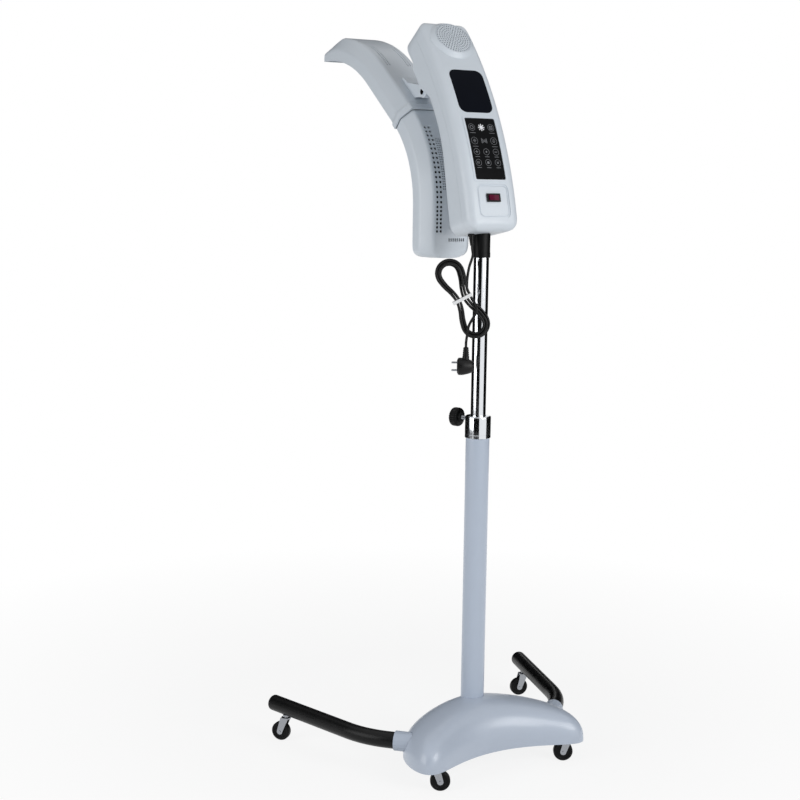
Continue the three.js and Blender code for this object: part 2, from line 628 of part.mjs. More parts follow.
// Frame on the face: x across, y up the face, z out of it
function consoleFrame(along, depth) {
  const tilt = tiltAt(along);
  const out = vec(0, -Math.cos(tilt), Math.sin(tilt));
  const up = vec(0, Math.sin(tilt), Math.cos(tilt));
  return new THREE.Matrix4().makeBasis(vec(1, 0, 0), up, out).setPosition(consolePoint(along, 0, depth));
}
const onFace = (geometry, along, depth = 0) => geometry.applyMatrix4(consoleFrame(along, depth));

function consoleDepth(along) {
  const lower = ease(DEPTH_FOOT, DEPTH_WAIST, WAIST_FROM, WAIST_TO, along);
  const bulge = ease(0, DEPTH_HEAD - DEPTH_WAIST, HEAD_FROM, HEAD_TO, along);
  return lower + bulge - ease(0, NECK_DENT, NECK_FROM, NECK_TO, along);
}

function consoleOutline(inset, along) {
  const half = CONSOLE_WIDTH / 2 - inset;
  const front = inset;
  const rear = consoleDepth(along) - inset;
  const corner = (x, y, radius, start) => evenly(start, start + 90, 3).map((angle) =>
    flat(x + radius * Math.cos(rad(angle)), y + radius * Math.sin(rad(angle))));
  const frontRadius = Math.max(FRONT_CORNER - inset, 2);
  const rearRadius = Math.max(REAR_CORNER - inset, 2);
  return [...corner(half - rearRadius, rear - rearRadius, rearRadius, 0), ...corner(-half + rearRadius,
    rear - rearRadius, rearRadius, 90),
    ...corner(-half + frontRadius, front + frontRadius, frontRadius, 180), ...corner(half - frontRadius,
      front + frontRadius, frontRadius, 270)];
}

// The console's top end leans back
const rakeAt = (along) => ease(0, TOP_RAKE, RAKE_FROM, CONSOLE_LENGTH, along);

function consoleSkin(wall) {
  const rounding = END_ROUNDING - wall;
  const foot = [12, 40, 65, 90].map((angle) => ({
    along: wall + rounding * (1 - Math.cos(rad(angle))),
    inset: wall + rounding * (1 - Math.sin(rad(angle))),
  }));
  const stops = [...evenly(WAIST_FROM, WAIST_TO, 5), HEAD_FROM, (HEAD_FROM + HEAD_TO) / 2, HEAD_TO,
    NECK_FROM, NECK_TO, RAKE_FROM];
  const middle = stops.map((along) => ({ along, inset: wall }));
  const head = [...foot].reverse().map(({ along, inset }) => ({ along: CONSOLE_LENGTH - along, inset }));
  return loft([...foot, ...middle, ...head].map(({ along, inset }) => ({
    outline: consoleOutline(inset, along),
    place: (x, depth) => consolePoint(along + depth * rakeAt(along), x, depth),
  })));
}

const strip = (x0, x1, depth0, depth1, from, to, steps) => loft(evenly(from, to, steps).map((along) => ({
  outline: rectangle(x0, x1, depth0, depth1), place: (x, depth) => consolePoint(along, x, depth),
})));

const overlay = (width, length, at, spare, depth) =>
  strip(-width / 2 - spare, width / 2 + spare, depth[0], depth[1], at - length / 2 - spare,
    at + length / 2 + spare, 6);
const overlayPocket = [-OVERCUT, OVERLAY_POCKET];
const overlayBody = [-OVERLAY_PROUD, OVERLAY_POCKET - GAP];

const skin = cut(solid(consoleSkin(0)), consoleSkin(CONSOLE_WALL));
const frontHalf = (depth) => strip(-CONSOLE_WIDTH, CONSOLE_WIDTH, -60, depth, -40, CONSOLE_LENGTH + 40, 12);
const rockerHole = [ROCKER_WIDTH + 2 * ROCKER_RIM, ROCKER_HEIGHT + 2 * ROCKER_RIM];
const faceRod = (radius, from, to, sides) => bar(vec(0, 0, -to), vec(0, 0, -from), radius, sides);

// Front cover: the control face, with a raised ring for the fan and pockets for the panels
const boss = onFace(faceRod(BOSS_RADIUS, -BOSS_HEIGHT, 2, 24), GRILLE_AT);
const frontCover = cut(skin.intersect(solid(frontHalf(SPLIT_DEPTH))).add(solid(boss)),
  onFace(faceRod(GRILLE_RADIUS - 3, -BOSS_HEIGHT - OVERCUT, CONSOLE_WALL + OVERCUT, 24), GRILLE_AT),
  onFace(faceRod(GRILLE_RADIUS + GAP, -BOSS_HEIGHT - OVERCUT, -BOSS_HEIGHT + GRILLE_THICKNESS, 24),
    GRILLE_AT),
  overlay(DISPLAY_WIDTH, DISPLAY_LENGTH, DISPLAY_AT, GAP, overlayPocket),
  overlay(KEYS_WIDTH, KEYS_LENGTH, KEYS_AT, GAP, overlayPocket),
  overlay(SWITCH_WIDTH, SWITCH_LENGTH, SWITCH_AT, GAP, overlayPocket),
  onFace(block(rockerHole[0] + 2 * GAP, rockerHole[1] + 2 * GAP, 30, 0, 0, 0), ROCKER_AT));
piece("console_front_cover", frontCover, WHITE_PLASTIC);

// Rear cover: the back of the console, open below for the sleeve and the cord
const glandFace = consolePoint(0, GLAND_X, GLAND_DEPTH);
const glandDown = vec(0, -Math.sin(tiltAt(0)), -Math.cos(tiltAt(0)));
const glandAt = (below) => glandFace.clone().addScaledVector(glandDown, below);
const GLAND_NECK = CORD_DIAMETER / 2 + 3;
const rearCover = cut(skin.subtract(solid(frontHalf(SPLIT_DEPTH + GAP))),
  bar(vec(0, 0, SLEEVE_FOOT), vec(0, 0, SLEEVE_TOP), SLEEVE_RADIUS + GAP, 24),
  bar(glandAt(-30), glandAt(OVERCUT), GLAND_NECK + GAP, 16));
piece("console_rear_cover", rearCover, WHITE_PLASTIC);

// Panels that lie in the front cover's pockets
piece("display_window", overlay(DISPLAY_WIDTH, DISPLAY_LENGTH, DISPLAY_AT, 0, overlayBody), SCREEN);
piece("key_panel", overlay(KEYS_WIDTH, KEYS_LENGTH, KEYS_AT, 0, overlayBody), KEY_FILM);
const switchPlate = cut(solid(overlay(SWITCH_WIDTH, SWITCH_LENGTH, SWITCH_AT, 0, overlayBody)),
  onFace(block(rockerHole[0] + 2 * GAP, rockerHole[1] + 2 * GAP, 30, 0, 0, 0), ROCKER_AT));
piece("switch_plate", switchPlate, WHITE_PLASTIC);

// Power switch: a frame clipped through the plate and a rocker that swings about the face's up line
const frameFront = OVERLAY_PROUD + GAP;
const rockerBody = cut(join(
  block(rockerHole[0], rockerHole[1], ROCKER_DEPTH, 0, 0, -ROCKER_DEPTH / 2 + frameFront),
  block(rockerHole[0] + 3, rockerHole[1] + 3, 1.6, 0, 0, frameFront + 0.6)),
  block(ROCKER_WIDTH + 2 * GAP, ROCKER_HEIGHT + 2 * GAP, 4 * ROCKER_DEPTH, 0, 0, 0));
piece("rocker_frame", geometryOf(rockerBody).applyMatrix4(consoleFrame(ROCKER_AT, 0)), BLACK_PLASTIC);
function rocker() {
  const crown = frameFront + 2.6;
  const dish = [flat(-ROCKER_WIDTH / 2 + 0.9, crown + 1.2), flat(-ROCKER_WIDTH / 2 + 1.4, -4), flat(0, -7),
    flat(ROCKER_WIDTH / 2 - 1.4, -4),
    flat(ROCKER_WIDTH / 2 - 0.9, crown + 1.2), flat(0, crown)];
  const body = slab(dish, ROCKER_HEIGHT).rotateX(Math.PI / 2).translate(0, ROCKER_HEIGHT / 2, 0);
  return body.rotateY(rad(ROCKER_SWING));
}
piece("power_rocker", onFace(rocker(), ROCKER_AT), ROCKER_RED);

// Fan: a grille in the raised ring, a motor frame under the face and the rotor between them
function fanGrille() {
  const plate = solid(faceRod(GRILLE_RADIUS, 0, GRILLE_THICKNESS - GAP, 24));
  const holes = [[0, 1], [17, 6], [34, 12]].flatMap(([radius, count]) => evenly(0, 2 * Math.PI,
    count + 1).slice(1)
    .map((angle) => faceRod(4, -OVERCUT, GRILLE_THICKNESS + OVERCUT, 6).translate(radius * Math.cos(angle),
      radius * Math.sin(angle), 0)));
  return geometryOf(cut(plate, ...holes));
}
piece("fan_grille", onFace(fanGrille(), GRILLE_AT, -BOSS_HEIGHT), WHITE_PLASTIC);

const faceSag = (reach) => reach ** 2 / (2 * FACE_RADIUS);
const FAN_RING = GRILLE_RADIUS - 1;
const FAN_SEAT = CONSOLE_WALL + faceSag(FAN_RING) + GAP;
const MOTOR_TOP = FAN_SEAT + 20;
const fanRing = cut(join(faceRod(FAN_RING, FAN_SEAT, FAN_SEAT + 26, 24)), faceRod(FAN_RADIUS + 3, 0,
  FAN_SEAT + 40, 24));
const fanFrame = [0, 120, 240].map((angle) => block(FAN_RADIUS + 5, 6, 4, (FAN_RADIUS + 5) / 2, 0,
  -MOTOR_TOP - 4).rotateZ(rad(angle)))
  .reduce((whole, spoke) => whole.add(solid(spoke)), fanRing).add(solid(faceRod(FAN_HUB, MOTOR_TOP,
    MOTOR_TOP + 24, 20)));
const shaftHole = faceRod(FAN_SHAFT + GAP, MOTOR_TOP - OVERCUT, MOTOR_TOP + 12, 12);
piece("fan_frame", geometryOf(cut(fanFrame, shaftHole)).applyMatrix4(consoleFrame(GRILLE_AT, 0)),
  BLACK_PLASTIC);

function fanRotor() {
  const hub = faceRod(FAN_HUB, FAN_SEAT + 2, MOTOR_TOP - 2, 20);
  const shaft = faceRod(FAN_SHAFT, MOTOR_TOP - 4, MOTOR_TOP + 11, 12);
  const blades = evenly(0, 360, FAN_BLADES + 1).slice(1).map((angle) => block(FAN_RADIUS - FAN_HUB + 4, 16,
    1.6, 0, 0, 0)
    .rotateX(rad(32)).translate((FAN_RADIUS + FAN_HUB) / 2 - 2, 0,
      -(FAN_SEAT + MOTOR_TOP) / 2).rotateZ(rad(angle)));
  return geometryOf(join(hub, shaft, ...blades));
}
piece("fan_rotor", onFace(fanRotor(), GRILLE_AT), BLACK_PLASTIC);

// Chassis: the steel strip that ties the sleeve to the covers, the boards and the hinge
const CHASSIS_BACK = CHASSIS_DEPTH + CHASSIS_THICKNESS;
function chassis() {
  const socketFoot = SLEEVE_TOP - CHASSIS_GRIP;
  const socket = block(CHASSIS_WIDTH, 2 * SLEEVE_RADIUS + 10, SLEEVE_TOP + 8 - socketFoot, 0, 0,
    (SLEEVE_TOP + 8 + socketFoot) / 2);
  const plate = strip(-CHASSIS_WIDTH / 2, CHASSIS_WIDTH / 2, CHASSIS_DEPTH, CHASSIS_BACK, CHASSIS_FROM,
    CHASSIS_TO, 8);
  const stays = STAY_SPOTS.map((along) => {
    const stayEnd = consoleDepth(along) - CONSOLE_WALL - 3 * GAP;
    const stay = block(CHASSIS_WIDTH, STAY_LENGTH, stayEnd - CHASSIS_DEPTH, 0, 0,
      -(stayEnd + CHASSIS_DEPTH) / 2);
    return onFace(stay, along);
  });
  const pillars = [BOARD_FROM, BOARD_TO].flatMap((along) => [-PILLAR_X, PILLAR_X].map((x) => {
    const pillar = faceRod(PILLAR_RADIUS, BOARD_DEPTH + BOARD_THICKNESS + GAP, CHASSIS_DEPTH + 1, 8);
    return onFace(pillar.translate(x, 0, 0), along);
  }));
  return cut(join(socket, plate, ...stays, ...pillars),
    bar(vec(0, 0, socketFoot - OVERCUT), vec(0, 0, SLEEVE_TOP + GAP), SLEEVE_RADIUS + GAP, 24));
}
piece("console_chassis", chassis(), ZINC);
const boardHalf = (BOARD_TO - BOARD_FROM) / 2;
const boardHeight = -BOARD_DEPTH - BOARD_THICKNESS / 2 - faceSag(boardHalf);
const board = block(BOARD_WIDTH, 2 * (boardHalf + BOARD_OVERHANG), BOARD_THICKNESS, 0, 0, boardHeight);
piece("control_board", onFace(board, (BOARD_FROM + BOARD_TO) / 2), BOARD_GREEN);
const supply = block(SUPPLY_WIDTH, SUPPLY_LENGTH, SUPPLY_DEPTH, 0, 0, GAP - CHASSIS_DEPTH + SUPPLY_DEPTH / 2);
piece("power_supply", onFace(supply, SUPPLY_AT), GREY_PLASTIC);

// Hinge: a fork on the console's back, the arm's barrel between its cheeks, and the pin through both
const hingeDepth = consoleDepth(HINGE_AT) + HINGE_STANDOFF;
const hingeCentre = consolePoint(HINGE_AT, 0, hingeDepth);
const hingeRod = (halfWidth, radius, sides = 20) =>
  bar(hingeCentre.clone().setX(-halfWidth), hingeCentre.clone().setX(halfWidth), radius, sides);
const cheekInner = ARM_WIDTH / 2 + GAP;
const cheekOuter = cheekInner + CHEEK_WIDTH;
function hingeHousing() {
  const seat = consoleDepth(HINGE_AT) + GAP + 2.6 * faceSag(23);
  const base = onFace(block(2 * cheekOuter, 46, 6, 0, 0, -seat - 3), HINGE_AT);
  const cheeks = [-1, 1].map((side) => onFace(block(CHEEK_WIDTH, 2 * HINGE_BARREL, HINGE_STANDOFF,
    side * (cheekInner + CHEEK_WIDTH / 2), 0, -seat - HINGE_STANDOFF / 2), HINGE_AT));
  const eyes = [-1, 1].map((side) => bar(hingeCentre.clone().setX(side * cheekInner),
    hingeCentre.clone().setX(side * cheekOuter), HINGE_BARREL, 20));
  return cut(join(base, ...cheeks, ...eyes), hingeRod(cheekOuter + OVERCUT, HINGE_PIN + GAP, 16));
}
piece("hinge_housing", hingeHousing(), WHITE_PLASTIC);
piece("hinge_pin", join(hingeRod(cheekOuter + 1, HINGE_PIN, 16),
  bar(hingeCentre.clone().setX(cheekOuter + GAP), hingeCentre.clone().setX(cheekOuter + 4), HINGE_PIN + 3,
    16),
  bar(hingeCentre.clone().setX(-cheekOuter - 4), hingeCentre.clone().setX(-cheekOuter - GAP), HINGE_PIN + 3,
    16)), ZINC);

// Hood arch: a straight back, a bend, a straight lean, a bend to level and a short tip
const archParts = [
  { length: HOOD_RISE, from: 0, to: 0 },
  { length: HOOD_LOWER_RADIUS * rad(HOOD_LEAN), from: 0, to: HOOD_LEAN },
  { length: HOOD_STRAIGHT, from: HOOD_LEAN, to: HOOD_LEAN },
  { length: HOOD_UPPER_RADIUS * rad(90 - HOOD_LEAN), from: HOOD_LEAN, to: 90 },
  { length: HOOD_TIP_RUN, from: 90, to: 90 },
];
const ARCH_LENGTH = archParts.reduce((sum, part) => sum + part.length, 0);
function archFrame(along) {
  let y = HOOD_BACK_Y;
  let z = HOOD_FOOT_Z;
  let left = along;
  let lean = 0;
  for (const part of archParts) {
    const last = part === archParts.at(-1);
    const run = last ? left : Math.min(left, part.length);
    const turn = (rad(part.to - part.from) * run) / part.length;
    const start = rad(part.from);
    lean = start + turn;
    y += turn ? (run / turn) * (Math.cos(start) - Math.cos(lean)) : run * Math.sin(start);
    z += turn ? (run / turn) * (Math.sin(lean) - Math.sin(start)) : run * Math.cos(start);
    left -= run;
    if (left <= 0) break;
  }
  return { y, z, lean };
}
function archPoint(along, x, depth) {
  const { y, z, lean } = archFrame(along);
  return vec(x, y - depth * Math.cos(lean), z + depth * Math.sin(lean));
}
const hoodDepth = (along) => HOOD_DEPTH - (HOOD_DEPTH - HOOD_TIP_DEPTH) *
  THREE.MathUtils.clamp((along - ARCH_LENGTH + HOOD_TIP_TAPER) / HOOD_TIP_TAPER, 0, 1);

// Channel section of the hood: straight sides, bevels and a flat back; grow is negative for the inside
function hoodOutline(depth, grow, front, narrow = 1) {
  const half = HOOD_HALF_WIDTH * narrow + grow;
  const bevel = Math.min(HOOD_BEVEL, half * 0.4);
  const side = Math.min(HOOD_SIDE, depth * 0.5) + grow * 0.4;
  const back = depth + grow;
  return [flat(half, front), flat(half, side), flat(half - bevel, back), flat(bevel - half, back),
    flat(-half, side), flat(-half, front)];
}
const hoodStation = (along, grow, front, narrow, trim = 0) => ({
  outline: hoodOutline(hoodDepth(along) - trim, grow, front, narrow), place: (x, depth) => archPoint(along,
    x, depth),
});
const tongue = (share, wall) => {
  const narrow = (1 - share ** 2.6) ** (1 / 2.6);
  return { along: -(HOOD_TONGUE - wall) * share, narrow, trim: 14 * share ** 2 };
};
const tongueSteps = [0.97, 0.88, 0.7, 0.45, 0.2];
const LEAN_AT = HOOD_RISE + HOOD_LOWER_RADIUS * rad(HOOD_LEAN);
const LEVEL_FROM = LEAN_AT + HOOD_STRAIGHT;
const lowerSteps = [0, ...evenly(HOOD_RISE, SEAM_AT - 2 * LIP_LENGTH, 5)];
const upperSteps = [LEAN_AT + 1.5 * LIP_LENGTH, ...evenly(LEVEL_FROM, ARCH_LENGTH - HOOD_TIP_RUN, 7)];

function lowerCover() {
  const end = SEAM_AT - GAP;
  const outer = loft([...tongueSteps.map((share) => tongue(share, 0)), ...[...lowerSteps,
    end].map((along) => ({ along, narrow: 1, trim: 0 }))]
    .map(({ along, narrow, trim }) => hoodStation(along, 0, 0, narrow, trim)));
  const inner = loft([...tongueSteps.map((share) => tongue(share, HOOD_WALL)), ...[...lowerSteps,
    end + OVERCUT]
    .map((along) => ({ along, narrow: 1, trim: 0 }))].map(({ along, narrow, trim }) => hoodStation(along,
      -HOOD_WALL, -OVERCUT, narrow, trim)));
  const vents = [];
  for (let row = 0; row < VENT_ROWS; row += 1) {
    const along = 22 + row * VENT_PITCH;
    const { lean } = archFrame(along);
    const back = vec(0, -Math.cos(lean), Math.sin(lean));
    for (const x of [-44, -33, 33, 44]) {
      const middle = archPoint(along, x, HOOD_DEPTH);
      vents.push(bar(middle.clone().addScaledVector(back, -OVERCUT - HOOD_WALL),
        middle.clone().addScaledVector(back, OVERCUT), VENT_RADIUS, 4));
    }
  }
  return cut(cut(solid(outer), inner), ...vents);
}
piece("hood_lower_cover", lowerCover(), WHITE_PLASTIC);

function upperCover() {
  const lip = [[SEAM_AT, LIP_HEIGHT], [SEAM_AT + 8, LIP_HEIGHT], [SEAM_AT + LIP_LENGTH, 0]];
  const outer = loft([...lip.map(([along, grow]) => hoodStation(along, grow, 0, 1)),
    ...upperSteps.map((along) => hoodStation(along, 0, 0, 1)), hoodStation(ARCH_LENGTH, 0, 0, 1)]);
  const inner = loft([SEAM_AT - OVERCUT, SEAM_AT + LIP_LENGTH, ...upperSteps, ARCH_LENGTH - HOOD_WALL]
    .map((along) => hoodStation(along, -HOOD_WALL, -OVERCUT, 1)));
  return cut(solid(outer), inner);
}
piece("hood_upper_cover", upperCover(), WHITE_PLASTIC);

// Hood arm: from the hinge to a foot on the upper cover's straight back
const ARM_FOOT_FROM = LEAN_AT + ARM_FOOT_SETBACK;
function hoodArm() {
  const heel = archPoint(ARM_FOOT_FROM, 0, HOOD_DEPTH + GAP);
  const toe = archPoint(ARM_FOOT_FROM + ARM_FOOT_LENGTH, 0, HOOD_DEPTH + GAP);
  const rise = archPoint(ARM_FOOT_FROM + ARM_FOOT_LENGTH, 0, HOOD_DEPTH + 7);
  const back = rise.clone().sub(toe).normalize();
  const reach = rise.clone().sub(hingeCentre).normalize();
  const across = vec(0, -reach.z, reach.y);
  const top = hingeCentre.clone().addScaledVector(across, HINGE_BARREL * 0.8);
  const low = hingeCentre.clone().addScaledVector(across, -HINGE_BARREL * 0.8);
  const waist = toe.clone().lerp(heel, 0.35).addScaledVector(back, 10);
  const outline = [heel, toe, rise, waist, top, low].map((point) => flat(point.y, point.z));
  const web = slab(outline, ARM_WIDTH).applyMatrix4(new THREE.Matrix4()
    .makeBasis(vec(0, 1, 0), vec(0, 0, 1), vec(1, 0, 0)).setPosition(-ARM_WIDTH / 2, 0, 0));
  return cut(join(web, hingeRod(ARM_WIDTH / 2, HINGE_BARREL)), hingeRod(ARM_WIDTH, HINGE_PIN + GAP, 16));
}
piece("hood_arm", hoodArm(), WHITE_PLASTIC);

// Heating panels: a reflector with tabs, a hairpin heater on the tabs and a wire guard over the mouth
function reflector(from, to) {
  const edge = HOOD_HALF_WIDTH - HOOD_WALL - GAP;
  const bend = edge - 26;
  const sheet = REFLECTOR_SHEET;
  const outline = [flat(edge, 10), flat(edge, 24), flat(bend, REFLECTOR_DEPTH), flat(-bend, REFLECTOR_DEPTH),
    flat(-edge, 24), flat(-edge, 10),
    flat(-edge + sheet, 10), flat(-edge + sheet, 24 - sheet * 0.5), flat(-bend + sheet * 0.5,
      REFLECTOR_DEPTH - sheet),
    flat(bend - sheet * 0.5, REFLECTOR_DEPTH - sheet), flat(edge - sheet, 24 - sheet * 0.5),
      flat(edge - sheet, 10)];
  const trough = loft(evenly(from, to, 7).map((along) => ({ outline, place: (x, depth) => archPoint(along, x,
    depth) })));
  const tabs = [from + 12, to - 30].flatMap((along) => [-1, 1].map((side) => {
    const x = side * HEATER_SPREAD;
    const tip = HEATER_DEPTH + HEATER_RADIUS * Math.cos(Math.PI / HEATER_SIDES) + GAP;
    return loft(evenly(along, along + 8, 2).map((at) => ({
      outline: rectangle(x - 3, x + 3, tip, REFLECTOR_DEPTH - sheet / 2), place: (u, depth) => archPoint(at,
        u, depth) })));
  }));
  return join(trough, ...tabs);
}
function heater(from, to) {
  const rise = evenly(from, to, 7);
  const points = [...rise.map((along) => archPoint(along, -HEATER_SPREAD, HEATER_DEPTH)),
    archPoint(to + HEATER_SPREAD * 0.7, -HEATER_SPREAD * 0.7, HEATER_DEPTH), archPoint(to + HEATER_SPREAD, 0,
      HEATER_DEPTH),
    archPoint(to + HEATER_SPREAD * 0.7, HEATER_SPREAD * 0.7, HEATER_DEPTH),
    ...rise.reverse().map((along) => archPoint(along, HEATER_SPREAD, HEATER_DEPTH))];
  return tubeAlong(new THREE.CatmullRomCurve3(points), HEATER_RADIUS, HEATER_SIDES, 20);
}
function guard(from, to) {
  const edge = HOOD_HALF_WIDTH - HOOD_WALL - GAP;
  const wires = evenly(-edge + 14, edge - 14, 4).map((x) => loft(evenly(from, to, 6).map((along) => ({
    outline: rectangle(x - GUARD_WIRE, x + GUARD_WIRE, 2, 2 + 2 * GUARD_WIRE), place: (u,
      depth) => archPoint(along, u, depth) }))));
  const rungs = evenly(from + 4, to - 4, 3).map((along) => loft([-GUARD_WIRE, GUARD_WIRE].map((shift) => ({
    outline: rectangle(-edge, edge, 2.4, 1.6 + 2 * GUARD_WIRE), place: (u, depth) => archPoint(along + shift,
      u, depth) }))));
  return join(...wires, ...rungs);
}
const panels = [["lower", PANEL_MARGIN, SEAM_AT - PANEL_MARGIN],
  ["upper", SEAM_AT + PANEL_MARGIN, ARCH_LENGTH - PANEL_TIP_MARGIN]];
for (const [name, from, to] of panels) {
  piece(`${name}_reflector`, reflector(from, to), BRIGHT_SHEET);
  piece(`${name}_heater`, heater(from + 8, to - HEATER_SETBACK), QUARTZ);
  piece(`${name}_guard`, guard(from, to), CHROME);
}

// Cord: gland, lead, hank, tie, tail and plug
const CORD_RADIUS = CORD_DIAMETER / 2;
const aside = vec(Math.cos(rad(HANK_FACING)), -Math.sin(rad(HANK_FACING)), 0);
const toward = vec(-Math.sin(rad(HANK_FACING)), -Math.cos(rad(HANK_FACING)), 0);
const upward = vec(0, 0, 1);
const hankDown = aside.clone().multiplyScalar(Math.sin(rad(HANK_LEAN))).addScaledVector(upward,
  -Math.cos(rad(HANK_LEAN)));
const hankAcross = aside.clone().multiplyScalar(Math.cos(rad(HANK_LEAN))).addScaledVector(upward,
  Math.sin(rad(HANK_LEAN)));
const hankPoint = (down, across, out) => vec(...HANK_CENTRE).addScaledVector(hankDown, down)
  .addScaledVector(hankAcross, across).addScaledVector(toward, out);

const glandHole = CORD_RADIUS + GAP;
const glandBody = join(bar(glandAt(-CONSOLE_WALL - 5), glandAt(-CONSOLE_WALL - GAP), GLAND_NECK + 3, 12),
  bar(glandAt(-CONSOLE_WALL - 2), glandAt(GAP + 1), GLAND_NECK, 12), bar(glandAt(GAP), glandAt(4),
    GLAND_NECK + 2.5, 12),
  bar(glandAt(3), glandAt(GLAND_TAPER), GLAND_NECK, 12, CORD_RADIUS + 1.6));
piece("cord_gland", cut(glandBody, bar(glandAt(GLAND_TAPER - 6), glandAt(GLAND_TAPER + OVERCUT), glandHole,
  12)), BLACK_PLASTIC);

// One loop of the hank: two runs drawn in at the waist and two round folds
const HANK_RUN = HANK_HALF_LENGTH - HANK_FOLD_RADIUS;
const HANK_WAIST = HANK_PITCH / 2;
const hankWidth = (down) => {
  const share = 0.5 * (1 - Math.cos((Math.PI * Math.abs(down)) / HANK_RUN));
  return HANK_WAIST + (HANK_FOLD_RADIUS - HANK_WAIST) * share;
};
const LAYER_HEIGHT = HANK_PITCH / 2;
const RUN_STEPS = 6;
const FOLD_STEPS = LOOP_STEPS / 2 - RUN_STEPS;
function loopSpot(step, spread) {
  const half = step % (LOOP_STEPS / 2);
  const turn = step % LOOP_STEPS < LOOP_STEPS / 2 ? 1 : -1;
  if (half <= RUN_STEPS) {
    const down = -HANK_RUN + (2 * HANK_RUN * half) / RUN_STEPS;
    return [turn * down, turn * (hankWidth(down) + spread)];
  }
  const angle = (Math.PI * (half - RUN_STEPS)) / FOLD_STEPS;
  const radius = HANK_FOLD_RADIUS + spread;
  return [turn * (HANK_RUN + radius * Math.sin(angle)), turn * radius * Math.cos(angle)];
}
function hankLine() {
  const steps = LOOP_STEPS * HANK_TURNS_IN_LAYER;
  const deepest = HANK_PITCH * HANK_TURNS_IN_LAYER;
  const middle = RUN_STEPS / 2;
  const line = [];
  for (let step = middle + 1; step < 2 * steps + middle; step += 1) {
    const spread = (deepest * Math.abs(step - steps - middle)) / steps;
    const out = ease(-LAYER_HEIGHT, LAYER_HEIGHT, steps, steps + RUN_STEPS, step);
    line.push(hankPoint(...loopSpot(step, spread), out));
  }
  const waist = HANK_WAIST + deepest + HANK_END_EASE;
  const starts = [-HANK_TAIL_END, -HANK_TAIL_END + CORD_DIAMETER].map((down) => hankPoint(down, waist,
    -LAYER_HEIGHT));
  const ends = [HANK_TAIL_END - CORD_DIAMETER, HANK_TAIL_END].map((down) => hankPoint(down, waist,
    LAYER_HEIGHT));
  return [...starts, ...line, ...ends];
}
function sweep(line, radius, sides) {
  const spots = [];
  const faces = [];
  let normal = toward.clone();
  line.forEach((point, i) => {
    const before = line[Math.max(i - 1, 0)];
    const after = line[Math.min(i + 1, line.length - 1)];
    const along = after.clone().sub(before).normalize();
    normal = normal.addScaledVector(along, -normal.dot(along)).normalize();
    const side = along.clone().cross(normal);
    for (let k = 0; k < sides; k += 1) {
      const angle = (2 * Math.PI * k) / sides;
      spots.push(point.clone().addScaledVector(normal, radius * Math.cos(angle)).addScaledVector(side,
        radius * Math.sin(angle)));
    }
  });
  const ring = (row, k) => row * sides + (k % sides);
  for (let row = 0; row + 1 < line.length; row += 1) {
    for (let k = 0; k < sides; k += 1) {
      faces.push(ring(row, k), ring(row, k + 1), ring(row + 1, k + 1), ring(row, k), ring(row + 1, k + 1),
        ring(row + 1, k));
    }
  }
  for (let k = 1; k + 1 < sides; k += 1) {
    faces.push(ring(0, 0), ring(0, k + 1), ring(0, k), ring(line.length - 1, 0), ring(line.length - 1, k),
      ring(line.length - 1, k + 1));
  }
  const geometry = new THREE.BufferGeometry().setFromPoints(spots);
  geometry.setIndex(faces);
  return geometry;
}
// Least gap of the wound cord to itself, measured on points spread along it
function leastGap(line) {
  const spots = line.slice(0, -1).flatMap((point, i) => evenly(0, 1, 7).slice(0,
    -1).map((share) => point.clone().lerp(line[i + 1], share)));
  const travel = [0];
  spots.forEach((point, i) => i > 0 && travel.push(travel[i - 1] + point.distanceTo(spots[i - 1])));
  let least = Infinity;
  for (let i = 0; i < spots.length; i += 1) {
    for (let j = i + 1; j < spots.length; j += 1) {
      if (travel[j] - travel[i] > 6 * CORD_DIAMETER) {
        least = Math.min(least, spots[i].distanceTo(spots[j]) - CORD_DIAMETER);
      }
    }
  }
  return least;
}
const wound = hankLine();
console.log(`cord hank: least gap to itself ${leastGap(wound).toFixed(2)} mm`);
piece("cord_hank", sweep(wound, CORD_RADIUS, 6), BLACK_PLASTIC);

// Tie: a flat band round the hank's waist
const HANK_END_ACROSS = HANK_WAIST + HANK_PITCH * HANK_TURNS_IN_LAYER + HANK_END_EASE;
const tieInside = [HANK_END_ACROSS + CORD_RADIUS + GAP, LAYER_HEIGHT + CORD_RADIUS + GAP];
const band = (grow) => rectangle(-tieInside[0] - grow, tieInside[0] + grow, -tieInside[1] - grow,
  tieInside[1] + grow);
const bandBody = (grow, half) => loft([-half, half].map((down) => ({ outline: band(grow), place: (across,
  out) => hankPoint(down, across, out) })));
piece("cord_tie", cut(solid(bandBody(TIE_THICKNESS, TIE_WIDTH / 2)), bandBody(0, TIE_WIDTH)), TIE_WHITE);

// Plug: a side-entry body with two round pins, its cord coming in from above
const plugSpot = (left, up, out) => vec(...PLUG_CENTRE).addScaledVector(aside, -left).addScaledVector(upward,
  up).addScaledVector(toward, out);
const reliefTop = plugSpot(-2, PLUG_RADIUS + 26, 0);
const plugBody = join(bar(plugSpot(-PLUG_LENGTH / 2, 0, 0), plugSpot(PLUG_LENGTH / 2 - 12, 0, 0),
  PLUG_RADIUS * 0.72, 12, PLUG_RADIUS),
  bar(plugSpot(PLUG_LENGTH / 2 - 13, 0, 0), plugSpot(PLUG_LENGTH / 2, 0, 0), PLUG_RADIUS, 12),
  bar(plugSpot(-2, 0, 0), reliefTop, 8.5, 8, CORD_RADIUS + 3.2));
const pinUps = [-PLUG_PIN_SPACING / 2, PLUG_PIN_SPACING / 2];
const pinBores = pinUps.map((up) => bar(plugSpot(PLUG_LENGTH / 2 - 8, up, 0), plugSpot(PLUG_LENGTH, up, 0),
  PLUG_PIN_RADIUS + GAP, 8));
